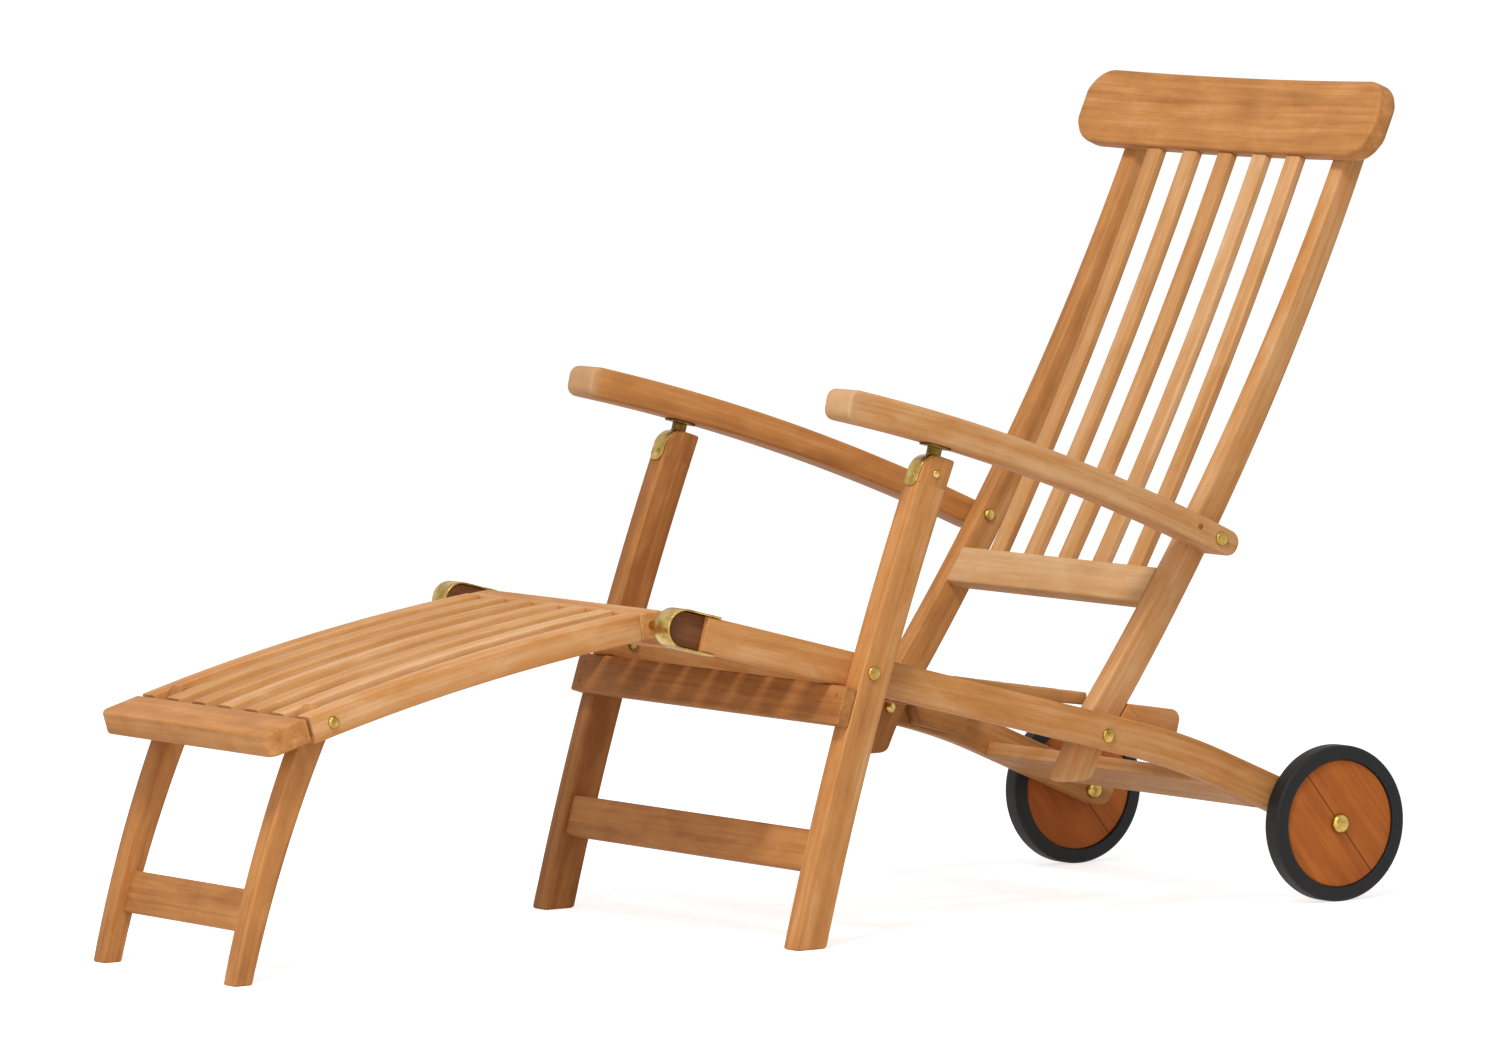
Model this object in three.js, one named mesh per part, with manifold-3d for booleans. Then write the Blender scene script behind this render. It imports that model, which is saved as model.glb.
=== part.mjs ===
// Steamer deck chair: a teak frame on brass bolts with a reclining back that folds forward,
// arms linked to the front legs, a hinged footrest on its own folding legs, and two wheels.
// Millimetres, +Z up. The sitter looks along -Y, so +X is the sitter's left.
//
// Side boards are drawn in the side plane, where a Vector2 holds (distance behind the wheel
// axle, height above the floor). Boards that lie across the chair are drawn about their own centre.
import * as THREE from 'three';
import { mergeVertices } from 'three/addons/utils/BufferGeometryUtils.js';
import Module from 'manifold-3d';

const wasm = await Module();
wasm.setup();

// Fits and edges
const FIT = 0.3;
const PIN_PLAY = 0.4;
const CUT_OVERRUN = 5;
const EDGE_CHAMFER = 2.5;
const SLAT_EDGE = 1.5;
const FILLET_STEPS = 2;
const ROUND_SIDES = 20;
const DOME_STEPS = 3;
const STRAP_STEPS = 8;
const CORNER_STEPS = 6;
const FULL_ROUND_SHARE = 0.85;

// Wheels and their stub axles
const WHEEL_RADIUS = 92;
const TYRE_DEPTH = 17.2;
const TYRE_WIDTH = 26.5;
const TYRE_SHOULDER = 5;
const WHEEL_PLAY = 1.5;
const DISC_THICKNESS = 20;
const AXLE_RADIUS = 6;
const AXLE_CAP_RADIUS = 12;
const AXLE_CAP_HEIGHT = 9.5;
const AXLE_NUT_RADIUS = 10;
const AXLE_NUT_HEIGHT = 10;

// Seat rails: one straight run from the footrest rod to a soft bend, then down to the wheels
const SEAT_LENGTH = 889;
const SEAT_FRONT_HEIGHT = 374;
const RAIL_BEND_REACH = 205;
const RAIL_BEND_HEIGHT = 190;
const RAIL_BEND_EASE = 60;
const RAIL_TAIL_LENGTH = 32;
const AXLE_DROP = 6;
const RAIL_DEPTH = 41;
const RAIL_THICKNESS = 28;
const RAIL_OUTER_HALF = 256;
const STRAP_THICKNESS = 2.2;
const STRAP_WIDTH = 30;
const STRAP_LENGTH = 66;

// Seat slats and the boards that tie the two rails together
const SEAT_SLAT_COUNT = 7;
const SEAT_SLAT_SIDE_GAP = 35.5;
const SEAT_SLAT_WIDTH = 40;
const SEAT_SLAT_THICKNESS = 15;
const SEAT_SLAT_SETBACK = 27;
const SEAT_SLAT_REAR_LEAD = 2.6;
const SEAT_SLAT_REAR_RISE = 22;
const SEAT_SLAT_SAG = 12;
const CROSS_RAIL_WIDTH = 20;
const CROSS_RAIL_HEIGHT = 24;
const CROSS_RAIL_FRONT_INSET = 16;
const CROSS_RAIL_REAR_INSET = 56;
const CROSS_BOARD_WIDTH = 85;
const CROSS_BOARD_THICKNESS = 17;
const CROSS_BOARD_SETBACK = 120;

// Bolts
const BOLT_RADIUS = 4;
const BOLT_HEAD_RADIUS = 8;
const BOLT_HEAD_HEIGHT = 4;
const BOLT_NUT_RADIUS = 7;
const BOLT_NUT_HEIGHT = 5.5;

// Front legs and the boards between them
const LEG_PIVOT_REACH = 654;
const LEG_PIVOT_LEAD = 5.5;
const LEG_FOOT_FORWARD = 90;
const ARM_PIVOT_SETBACK = 90;
const ARM_PIVOT_HEIGHT = 534;
const LEG_DEPTH = 40;
const LEG_THICKNESS = 29.7;
const LEG_TOP_MARGIN = 20;
const LEG_TOP_FILLET = 11;
const APRON_HEIGHT = 46;
const APRON_THICKNESS = 16.5;
const APRON_RAIL_GAP = 0.6;
const STRETCHER_HEIGHT = 48;
const STRETCHER_THICKNESS = 20;
const STRETCHER_LIFT = 107;
const STRETCHER_INSET = 5;

// Arms and the brass brackets that carry them on the legs
const ARM_THICKNESS = 52;
const ARM_RISE = 53;
const ARM_FRONT_OVERHANG = 128;
const ARM_FRONT_RISE = 34;
const ARM_TAIL_LENGTH = 28;
const ARM_FRONT_DEPTH = 37;
const ARM_REAR_DEPTH = 30;
const ARM_FRONT_FILLET = 13;
const BRACKET_LENGTH = 30;
const BRACKET_WIDTH = 22;
const BRACKET_THICKNESS = 3;
const BRACKET_TONGUE_THICKNESS = 5;
const BRACKET_TONGUE_DEPTH = 18;
const BRACKET_SLOT_DEPTH = 14;

// Backrest
const BACK_PIVOT_REACH = 310;
const BACK_PIVOT_DROP = 4;
const BACK_RUN = 381;
const BACK_RISE = 648;
const BACK_BOW = 21;
const STILE_FOOT_FORWARD = 27;
const STILE_FOOT_DROP = 54;
const STILE_FOOT_DEPTH = 41;
const STILE_FOOT_FILLET = 8;
const STILE_TOP_DEPTH = 26.5;
const STILE_THICKNESS = 26;
const STILE_LAP = 70;
const STILE_STEPS = 9;
const ARM_BOLT_RISE = 222;
const ARM_BOLT_LEAD = 7;
const LOWER_RAIL_RISE = 157;
const LOWER_RAIL_HEIGHT = 47;
const LOWER_RAIL_THICKNESS = 20;
const BACK_SLAT_COUNT = 5;
const BACK_SLAT_SIDE_GAP = 44.7;
const BACK_SLAT_WIDTH = 28;
const BACK_SLAT_THICKNESS = 11;
const BACK_SLAT_BOW = 7;
const HEADBOARD_HALF = 304;
const HEADBOARD_HEIGHT = 93.5;
const HEADBOARD_THICKNESS = 23;
const HEADBOARD_BOW = 11.5;
const HEADBOARD_DROP = 4.7;
const HEADBOARD_TOP_FILLET = 41;
const HEADBOARD_LOWER_FILLET = 39;
const HEADBOARD_STEPS = 11;

// Blocks on the rails that the stiles lean on
const STOP_CONTACT_HIGH = 55;
const STOP_CONTACT_LOW = 30;
const STOP_RELIEF_REACH = 50;
const STOP_REAR_REACH = 115;
const STOP_TOP_RISE = 51;
const STOP_BOTTOM_DROP = 12;
const STOP_FILLET = 12;

// Footrest
const FOOTREST_OUTER_HALF = 187;
const FOOTREST_LENGTH = 454;
const FOOTREST_DROP = 91.5;
const FOOTREST_BOW = 9.5;
const FOOTREST_RAIL_DEPTH = 32;
const FOOTREST_RAIL_THICKNESS = 27;
const FOOTREST_REAR_RAIL_SIZE = 30;
const FOOTREST_SLAT_COUNT = 5;
const FOOTREST_SLAT_SIDE_GAP = 29.4;
const FOOTREST_SLAT_WIDTH = 28;
const FOOTREST_SLAT_THICKNESS = 11.5;
const FRONT_BOARD_WIDTH = 56;
const FRONT_BOARD_THICKNESS = 28;
const FRONT_BOARD_FILLET = 10;
const FOOTREST_ROD_RADIUS = 5;
const FOOTREST_ROD_BITE = 20;

// Footrest legs
const FOOTREST_LEG_INSET = 32;
const FOOTREST_LEG_FORWARD = 107;
const FOOTREST_LEG_BOW = 8;
const FOOTREST_LEG_TOP_DEPTH = 34;
const FOOTREST_LEG_FOOT_DEPTH = 23;
const FOOTREST_LEG_THICKNESS = 26;
const FOOTREST_LEG_TOP_MARGIN = 15;
const FOOTREST_LEG_FILLET = 10;
const FOOTREST_LEG_ROD_RADIUS = 3.5;
const FOOTREST_STRETCHER_HEIGHT = 48;
const FOOTREST_STRETCHER_THICKNESS = 14;
const FOOTREST_STRETCHER_LIFT = 81;
const FOOTREST_STRETCHER_INSET = 12;

// Vectors of the side plane
const sidePoint = (y, z) => new THREE.Vector2(y, z);
const stepFrom = (point, direction, distance) => point.clone().addScaledVector(direction, distance);
const directionTo = (from, to) => to.clone().sub(from).normalize();
const leftOf = (direction) => sidePoint(-direction.y, direction.x);

// A curve from start to end that passes through a third point, and the share of it lying before
// that point.
function curveThrough(start, via, end) {
  const before = start.distanceTo(via);
  const share = before / (before + via.distanceTo(end));
  const control = via.clone()
    .addScaledVector(start, -(1 - share) * (1 - share))
    .addScaledVector(end, -share * share)
    .divideScalar(2 * share * (1 - share));
  return { curve: new THREE.QuadraticBezierCurve(start, control, end), share };
}

// A curve from start to end whose middle lies off the straight line, to the left when bow is positive.
function bowedCurve(start, end, bow) {
  const middle = start.clone().lerp(end, 0.5);
  const control = stepFrom(middle, leftOf(directionTo(start, end)), 2 * bow);
  return new THREE.QuadraticBezierCurve(start, control, end);
}

// The share of a rising curve at which it reaches a height.
function shareAtHeight(curve, height) {
  let low = 0;
  let high = 1;
  for (let i = 0; i < 40; i += 1) {
    const middle = (low + high) / 2;
    if (curve.getPoint(middle).y < height) low = middle;
    else high = middle;
  }
  return low;
}

// A closed outline through corners, each rounded by its radius. A fillet that would nearly fill
// the shorter edge beside it ends at the middle of that edge, so two of them make a full round end.
function roundedShape(corners) {
  const shape = new THREE.Shape();
  corners.forEach(({ at, radius }, i) => {
    const before = corners[(i + corners.length - 1) % corners.length].at;
    const after = corners[(i + 1) % corners.length].at;
    const back = directionTo(at, before);
    const ahead = directionTo(at, after);
    const half = Math.acos(THREE.MathUtils.clamp(back.dot(ahead), -1, 1)) / 2;
    const room = Math.min(at.distanceTo(before), at.distanceTo(after)) / 2;
    const wanted = radius / Math.tan(half);
    const run = wanted > room * FULL_ROUND_SHARE ? room : wanted;
    const entry = stepFrom(at, back, run);
    if (i === 0) shape.moveTo(entry.x, entry.y);
    else shape.lineTo(entry.x, entry.y);
    if (run > 0) {
      const bulge = run * Math.tan(half);
      const middle = stepFrom(at, back.clone().add(ahead).normalize(), bulge / Math.sin(half));
      const leave = stepFrom(at, ahead, run);
      const from = Math.atan2(entry.y - middle.y, entry.x - middle.x);
      const to = Math.atan2(leave.y - middle.y, leave.x - middle.x);
      shape.absarc(middle.x, middle.y, bulge, from, to, back.cross(ahead) > 0);
    }
  });
  return shape;
}

// The outline of a board that follows a row of centre points. Its depth changes evenly along the
// row. An end is sawn square, or along the cut direction that is given for it.
function boardShape(points, startDepth, endDepth, options = {}) {
  const { startCut, endCut, startRadius = 0, endRadius = 0 } = options;
  const last = points.length - 1;
  const upper = [];
  const lower = [];
  points.forEach((point, i) => {
    const along = directionTo(points[Math.max(i - 1, 0)], points[Math.min(i + 1, last)]);
    const side = leftOf(along);
    const cuts = { 0: startCut, [last]: endCut };
    const cut = cuts[i] ?? side;
    const reach = THREE.MathUtils.lerp(startDepth, endDepth, i / last) / 2 / cut.dot(side);
    const radius = { 0: startRadius, [last]: endRadius }[i] ?? 0;
    upper.push({ at: stepFrom(point, cut, reach), radius });
    lower.unshift({ at: stepFrom(point, cut, -reach), radius });
  });
  return roundedShape([...upper, ...lower]);
}

// A rectangle about the origin of the side plane.
function barShape(width, height, radius) {
  const signs = [[-1, -1], [1, -1], [1, 1], [-1, 1]];
  return roundedShape(signs.map(([i, j]) => ({ at: sidePoint(i * width / 2, j * height / 2), radius })));
}

// A round hole whose facets clear a pin of the given radius by the play.
function drill(shape, centre, pinRadius) {
  const radius = (pinRadius + PIN_PLAY) / Math.cos(Math.PI / ROUND_SIDES);
  const hole = new THREE.Path();
  const rim = Array.from({ length: ROUND_SIDES }, (_, i) => {
    const angle = 2 * Math.PI * i / ROUND_SIDES;
    return sidePoint(centre.x + radius * Math.cos(angle), centre.y + radius * Math.sin(angle));
  });
  hole.setFromPoints(rim);
  shape.holes.push(hole);
  return shape;
}

// Shape x and y become the chair's Y and Z, and the board's thickness lies along X.
const SIDE_PLANE = new THREE.Matrix4().makeBasis(
  new THREE.Vector3(0, 1, 0),
  new THREE.Vector3(0, 0, 1),
  new THREE.Vector3(1, 0, 0),
);

// A flat board of the given outline, chamfered all round and centred on its mid-plane.
function flatBoard(shape, thickness, chamfer) {
  const geometry = new THREE.ExtrudeGeometry(shape, {
    depth: thickness - 2 * chamfer,
    curveSegments: FILLET_STEPS,
    bevelEnabled: chamfer > 0,
    bevelThickness: chamfer,
    bevelSize: chamfer,
    bevelOffset: -chamfer,
    bevelSegments: 1,
  });
  return geometry.translate(0, 0, chamfer - thickness / 2);
}

function sideBoard(shape, thickness, chamfer) {
  return flatBoard(shape, thickness, chamfer).applyMatrix4(SIDE_PLANE);
}

// A turned piece about the X axis, from a profile of (radius, distance along X).
function turned(profile) {
  const points = profile.map(([radius, along]) => new THREE.Vector2(radius, along));
  return new THREE.LatheGeometry(points, ROUND_SIDES).rotateZ(-Math.PI / 2);
}

// Points of a dome from its rim at base to its crown, or from crown to rim.
function domeUp(radius, base, height) {
  return Array.from({ length: DOME_STEPS + 1 }, (_, i) => {
    const angle = Math.PI / 2 * i / DOME_STEPS;
    return [i === DOME_STEPS ? 0 : radius * Math.cos(angle), base + height * Math.sin(angle)];
  });
}

function domeDown(radius, base, height) {
  return domeUp(radius, base, -height).reverse();
}

// A bolt along X that grips from inner to outer, with a cap nut inside and a domed head outside.
function boltBetween(inner, outer) {
  return turned([
    ...domeDown(BOLT_NUT_RADIUS, inner - FIT, BOLT_NUT_HEIGHT),
    [BOLT_RADIUS, inner - FIT],
    [BOLT_RADIUS, outer + FIT],
    ...domeUp(BOLT_HEAD_RADIUS, outer + FIT, BOLT_HEAD_HEIGHT),
  ]);
}

function toSolid(geometry) {
  const bare = geometry.clone();
  bare.deleteAttribute('normal');
  bare.deleteAttribute('uv');
  const merged = mergeVertices(bare);
  return new wasm.Manifold(new wasm.Mesh({
    numProp: 3,
    vertProperties: merged.attributes.position.array,
    triVerts: new Uint32Array(merged.index.array),
  }));
}

function toGeometry(solid) {
  const mesh = solid.getMesh();
  const geometry = new THREE.BufferGeometry();
  geometry.setAttribute('position', new THREE.BufferAttribute(mesh.vertProperties, 3));
  geometry.setIndex(new THREE.BufferAttribute(mesh.triVerts, 1));
  geometry.computeVertexNormals();
  return geometry;
}

// Materials
const teak = (color) => new THREE.MeshStandardMaterial({ color, roughness: 0.62, metalness: 0 });
const frameTeak = () => teak('#c98a52');
const slatTeak = () => teak('#dda877');
const paleTeak = () => teak('#cda070');
const wheelTeak = () => teak('#c07035');
const brass = () => new THREE.MeshStandardMaterial({ color: '#c9a95e', roughness: 0.35, metalness: 1 });
const rubber = () => new THREE.MeshStandardMaterial({ color: '#2a2526', roughness: 0.8, metalness: 0 });

// Places in the width of the chair, from the centre plane outward
const railInner = RAIL_OUTER_HALF - RAIL_THICKNESS;
const railMiddle = RAIL_OUTER_HALF - RAIL_THICKNESS / 2;
const legInner = RAIL_OUTER_HALF + FIT;
const legOuter = legInner + LEG_THICKNESS;
const legMiddle = legInner + LEG_THICKNESS / 2;
const stileOuter = railInner - FIT;
const stileInner = stileOuter - STILE_THICKNESS;
const armInner = railInner;
const armOuter = armInner + ARM_THICKNESS;
const footrestRailInner = FOOTREST_OUTER_HALF - FOOTREST_RAIL_THICKNESS;
const footrestLegInner = footrestRailInner - FIT - FOOTREST_LEG_THICKNESS;

// Seat rail line in the side plane
const footrestPivot = sidePoint(-SEAT_LENGTH, SEAT_FRONT_HEIGHT);
const railBend = sidePoint(-RAIL_BEND_REACH, RAIL_BEND_HEIGHT);
const axle = sidePoint(0, WHEEL_RADIUS);
const railOverAxle = sidePoint(0, WHEEL_RADIUS + AXLE_DROP);
const railAlong = directionTo(footrestPivot, railBend);
const railUp = leftOf(railAlong);
const tailAlong = directionTo(railBend, railOverAxle);
const tailUp = leftOf(tailAlong);
const railPoint = (reach) => stepFrom(railBend, railAlong, (RAIL_BEND_REACH - reach) / railAlong.x);

// Pivots in the side plane
const legPivot = railPoint(LEG_PIVOT_REACH);
const armPivot = sidePoint(legPivot.x + ARM_PIVOT_SETBACK, ARM_PIVOT_HEIGHT);
const backPivot = railPoint(BACK_PIVOT_REACH).sub(sidePoint(0, BACK_PIVOT_DROP));

// Curves that the boards follow
const legFoot = sidePoint(legPivot.x - LEG_FOOT_FORWARD, 0);
const legCurve = curveThrough(legFoot, legPivot.clone().add(sidePoint(LEG_PIVOT_LEAD, 0)), armPivot).curve;
const stileTop = backPivot.clone().add(sidePoint(BACK_RUN, BACK_RISE));
const stileCurve = bowedCurve(backPivot, stileTop, -BACK_BOW);
const armBoltShare = shareAtHeight(stileCurve, backPivot.y + ARM_BOLT_RISE);
const armBolt = stileCurve.getPoint(armBoltShare).sub(sidePoint(ARM_BOLT_LEAD, 0));
const armOverLeg = armPivot.clone().add(sidePoint(0, ARM_RISE));
const armFront = armOverLeg.clone().add(sidePoint(-ARM_FRONT_OVERHANG, ARM_FRONT_RISE));
const armLine = curveThrough(armFront, armOverLeg, armBolt);
const armAlongTail = armLine.curve.getTangent(1);
const armTail = stepFrom(armBolt, armAlongTail, ARM_TAIL_LENGTH);

// The arms toe out: they start against the stiles and are centred over the legs.
const armToeOut = (legMiddle - armInner - ARM_THICKNESS / 2) / (armTail.x - armPivot.x);
const armSpread = (y) => armToeOut * (armTail.x - y);

// Seat rail with its bolt holes. Its nose is round about the footrest rod.
function seatRail() {
  const easeIn = stepFrom(railBend, railAlong, -RAIL_BEND_EASE);
  const easeOut = stepFrom(railBend, tailAlong, RAIL_BEND_EASE);
  const points = [
    stepFrom(footrestPivot, railAlong, -RAIL_DEPTH / 2),
    ...new THREE.QuadraticBezierCurve(easeIn, railBend, easeOut).getPoints(5),
    stepFrom(railOverAxle, tailAlong, RAIL_TAIL_LENGTH),
  ];
  const endRadius = RAIL_DEPTH / 2;
  const shape = boardShape(points, RAIL_DEPTH, RAIL_DEPTH, { startRadius: endRadius, endRadius });
  drill(shape, footrestPivot, FOOTREST_ROD_RADIUS);
  drill(shape, legPivot, BOLT_RADIUS);
  drill(shape, backPivot, BOLT_RADIUS);
  drill(shape, axle, AXLE_RADIUS);
  return sideBoard(shape, RAIL_THICKNESS, EDGE_CHAMFER);
}

// Brass strap bent round the nose of a seat rail, drawn with the rod at the origin.
function railEndStrap() {
  const inner = RAIL_DEPTH / 2 + FIT;
  const outer = inner + STRAP_THICKNESS;
  const shape = new THREE.Shape();
  shape.moveTo(STRAP_LENGTH, outer);
  shape.lineTo(0, outer);
  shape.absarc(0, 0, outer, Math.PI / 2, 1.5 * Math.PI, false);
  shape.lineTo(STRAP_LENGTH, -outer);
  shape.lineTo(STRAP_LENGTH, -inner);
  shape.lineTo(0, -inner);
  shape.absarc(0, 0, inner, 1.5 * Math.PI, Math.PI / 2, true);
  shape.lineTo(STRAP_LENGTH, inner);
  const bend = new THREE.Shape(shape.getPoints(STRAP_STEPS));
  return sideBoard(bend, STRAP_WIDTH, 0);
}

// Seat slats start flush with the rails and end above them, with a dip between.
const seatSlatOffset = (RAIL_DEPTH - SEAT_SLAT_THICKNESS) / 2;
const seatSlatLength = footrestPivot.distanceTo(railPoint(BACK_PIVOT_REACH))
  - SEAT_SLAT_SETBACK - SEAT_SLAT_REAR_LEAD;
const onRailLine = (distance, rise) => stepFrom(stepFrom(footrestPivot, railAlong, distance), railUp, rise);
const seatSlatStart = onRailLine(SEAT_SLAT_SETBACK, seatSlatOffset);
const seatSlatEnd = onRailLine(SEAT_SLAT_SETBACK + seatSlatLength, seatSlatOffset + SEAT_SLAT_REAR_RISE);
const seatSlatCurve = bowedCurve(seatSlatStart, seatSlatEnd, -SEAT_SLAT_SAG);

function seatSlat() {
  const shape = boardShape(seatSlatCurve.getPoints(6), SEAT_SLAT_THICKNESS, SEAT_SLAT_THICKNESS);
  return sideBoard(shape, SEAT_SLAT_WIDTH, SLAT_EDGE);
}

function seatCrossRail() {
  const shape = barShape(CROSS_RAIL_WIDTH, CROSS_RAIL_HEIGHT, EDGE_CHAMFER);
  return sideBoard(shape, 2 * (railInner - FIT), 0);
}

// Place and slope of a cross rail under the slats, by its distance from their front end.
function underSlats(distance) {
  const share = distance / seatSlatLength;
  const slope = seatSlatCurve.getTangent(share);
  const drop = SEAT_SLAT_THICKNESS / 2 + FIT + CROSS_RAIL_HEIGHT / 2;
  return { at: stepFrom(seatSlatCurve.getPoint(share), leftOf(slope), -drop), slope };
}

function rearCrossBoard() {
  const shape = barShape(CROSS_BOARD_WIDTH, CROSS_BOARD_THICKNESS, EDGE_CHAMFER);
  return sideBoard(shape, 2 * (railInner - FIT), 0);
}

// Block on the inner face of a rail. Its upper front face meets the back of the stile, and the
// face below is cut away so that the stile's foot can swing past it.
function backStopBlock() {
  const up = stileCurve.getTangent(0);
  const behind = leftOf(up).negate();
  const contact = stileDepthAt(0) / 2 + FIT;
  const onStile = (rise) => stepFrom(stepFrom(backPivot, up, rise), behind, contact);
  const onRail = (reach, rise) => stepFrom(stepFrom(backPivot, railAlong, reach), railUp, rise);
  return sideBoard(roundedShape([
    { at: onStile(STOP_CONTACT_HIGH), radius: 0 },
    { at: onStile(STOP_CONTACT_LOW), radius: 0 },
    { at: onRail(STOP_RELIEF_REACH, -STOP_BOTTOM_DROP), radius: 0 },
    { at: onRail(STOP_REAR_REACH, -STOP_BOTTOM_DROP), radius: 0 },
    { at: onRail(STOP_REAR_REACH, STOP_TOP_RISE), radius: STOP_FILLET },
  ]), STILE_THICKNESS, SLAT_EDGE);
}

// Front leg: passes the rail bolt, is sawn flat on the floor and slotted at the top for the bracket.
const legAlongTop = legCurve.getTangent(1);
const legPoints = [...legCurve.getPoints(7), stepFrom(armPivot, legAlongTop, LEG_TOP_MARGIN)];

function frontLeg() {
  const shape = boardShape(legPoints, LEG_DEPTH, LEG_DEPTH, {
    startCut: sidePoint(-1, 0),
    endRadius: LEG_TOP_FILLET,
  });
  drill(shape, legPivot, BOLT_RADIUS);
  drill(shape, armPivot, BOLT_RADIUS);
  const slotHeight = BRACKET_SLOT_DEPTH + LEG_TOP_MARGIN + CUT_OVERRUN;
  const slotRise = (slotHeight / 2) - BRACKET_SLOT_DEPTH;
  const middle = stepFrom(armPivot, legAlongTop, slotRise);
  const slotWidth = BRACKET_TONGUE_THICKNESS + 2 * FIT;
  const slot = new THREE.BoxGeometry(slotWidth, slotHeight, LEG_DEPTH + 2 * CUT_OVERRUN)
    .rotateX(Math.atan2(legAlongTop.y, legAlongTop.x))
    .translate(0, middle.x, middle.y);
  return toGeometry(toSolid(sideBoard(shape, LEG_THICKNESS, EDGE_CHAMFER)).subtract(toSolid(slot)));
}

// Place of a board between or before the legs, by height of its centre and distance from the
// front edge of the leg to its front face.
function onLegs(height, inset, thickness) {
  const share = shareAtHeight(legCurve, height);
  const slope = legCurve.getTangent(share);
  const forward = LEG_DEPTH / 2 - inset - thickness / 2;
  return { at: stepFrom(legCurve.getPoint(share), leftOf(slope), forward), slope };
}

// The apron lies before the legs, with its top edge just under the seat rails.
function apronPlace() {
  const guess = legPivot.y - APRON_HEIGHT;
  const { at, slope } = onLegs(guess, -FIT - APRON_THICKNESS, APRON_THICKNESS);
  const top = stepFrom(at, slope, APRON_HEIGHT / 2);
  const corners = [-1, 1].map((sign) => stepFrom(top, leftOf(slope), sign * APRON_THICKNESS / 2));
  const depthUnderRail = Math.min(...corners.map((corner) => -railUp.dot(corner.sub(legPivot))));
  const missing = RAIL_DEPTH / 2 + APRON_RAIL_GAP - depthUnderRail;
  return { at: stepFrom(at, slope, missing / -railUp.dot(slope)), slope };
}

function frontApron() {
  return sideBoard(barShape(APRON_HEIGHT, APRON_THICKNESS, EDGE_CHAMFER), 2 * legOuter, 0);
}

function legStretcher() {
  return sideBoard(barShape(STRETCHER_HEIGHT, STRETCHER_THICKNESS, EDGE_CHAMFER), 2 * (legInner - FIT), 0);
}

// Arm: arched, with a rounded front and a round tail behind the bolt, and toed out to its own side.
const armSteps = armLine.curve.getPoints(13);
const armPoints = [...armSteps, armTail];

function arm(sign) {
  const shape = boardShape(armPoints, ARM_FRONT_DEPTH, ARM_REAR_DEPTH, {
    startRadius: ARM_FRONT_FILLET,
    endRadius: ARM_REAR_DEPTH / 2,
  });
  drill(shape, armBolt, BOLT_RADIUS);
  const toeOut = new THREE.Matrix4().makeShear(0, 0, -sign * armToeOut, 0, 0, 0);
  return sideBoard(shape, ARM_THICKNESS, EDGE_CHAMFER)
    .applyMatrix4(toeOut)
    .translate(sign * armSpread(0), 0, 0);
}

// Bracket under the arm: a plate against the arm, a tongue in the slot of the leg and the pin
// through both cheeks. It is drawn with the pin at the origin and the arm running along Y.
const armSlope = armLine.curve.getTangent(armLine.share);
const armUp = leftOf(armSlope);

function armBracket() {
  const depthShare = armLine.share * (armSteps.length - 1) / (armPoints.length - 1);
  const armDepth = THREE.MathUtils.lerp(ARM_FRONT_DEPTH, ARM_REAR_DEPTH, depthShare);
  const underArm = armUp.dot(armOverLeg.clone().sub(armPivot)) - armDepth / 2 - FIT;
  const plate = new THREE.BoxGeometry(BRACKET_WIDTH, BRACKET_LENGTH, BRACKET_THICKNESS)
    .translate(0, 0, underArm - BRACKET_THICKNESS / 2);
  const tongueTop = underArm - BRACKET_THICKNESS / 2;
  const half = BRACKET_TONGUE_DEPTH / 2;
  const tongue = sideBoard(roundedShape([
    { at: sidePoint(-half, -half), radius: half },
    { at: sidePoint(half, -half), radius: half },
    { at: sidePoint(half, tongueTop), radius: 0 },
    { at: sidePoint(-half, tongueTop), radius: 0 },
  ]), BRACKET_TONGUE_THICKNESS, 0);
  const pin = boltBetween(-LEG_THICKNESS / 2, LEG_THICKNESS / 2);
  return toGeometry(toSolid(plate).add(toSolid(tongue)).add(toSolid(pin)));
}

// The arm's rear bolt ends inside the arm.
function armBoltGeometry() {
  const inner = armInner + armSpread(armBolt.x - BOLT_RADIUS) + FIT;
  const outer = armOuter + armSpread(armBolt.x - BOLT_HEAD_RADIUS) + FIT;
  return turned([
    [0, inner],
    [BOLT_RADIUS, inner],
    [BOLT_RADIUS, outer],
    ...domeUp(BOLT_HEAD_RADIUS, outer, BOLT_HEAD_HEIGHT),
  ]);
}

// Board under the head. It is bowed, with its ends ahead of its middle, and is fixed to the front
// faces of the stiles.
const headboardUp = stileCurve.getTangent(1);
const headboardAhead = leftOf(headboardUp);
const headboardBehind = headboardAhead.clone().negate();
const headboardForward = (x) => HEADBOARD_BOW * (x / HEADBOARD_HALF) * (x / HEADBOARD_HALF);
const headboardLead = (stileDepthAt(1) + HEADBOARD_THICKNESS) / 2 + FIT - headboardForward(stileInner);
const headboardSeat = stepFrom(stileTop, headboardAhead, headboardLead);
const headboardFoot = stepFrom(headboardSeat, headboardUp, -HEADBOARD_DROP);
const headboardMiddle = stepFrom(headboardFoot, headboardUp, HEADBOARD_HEIGHT / 2);

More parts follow.
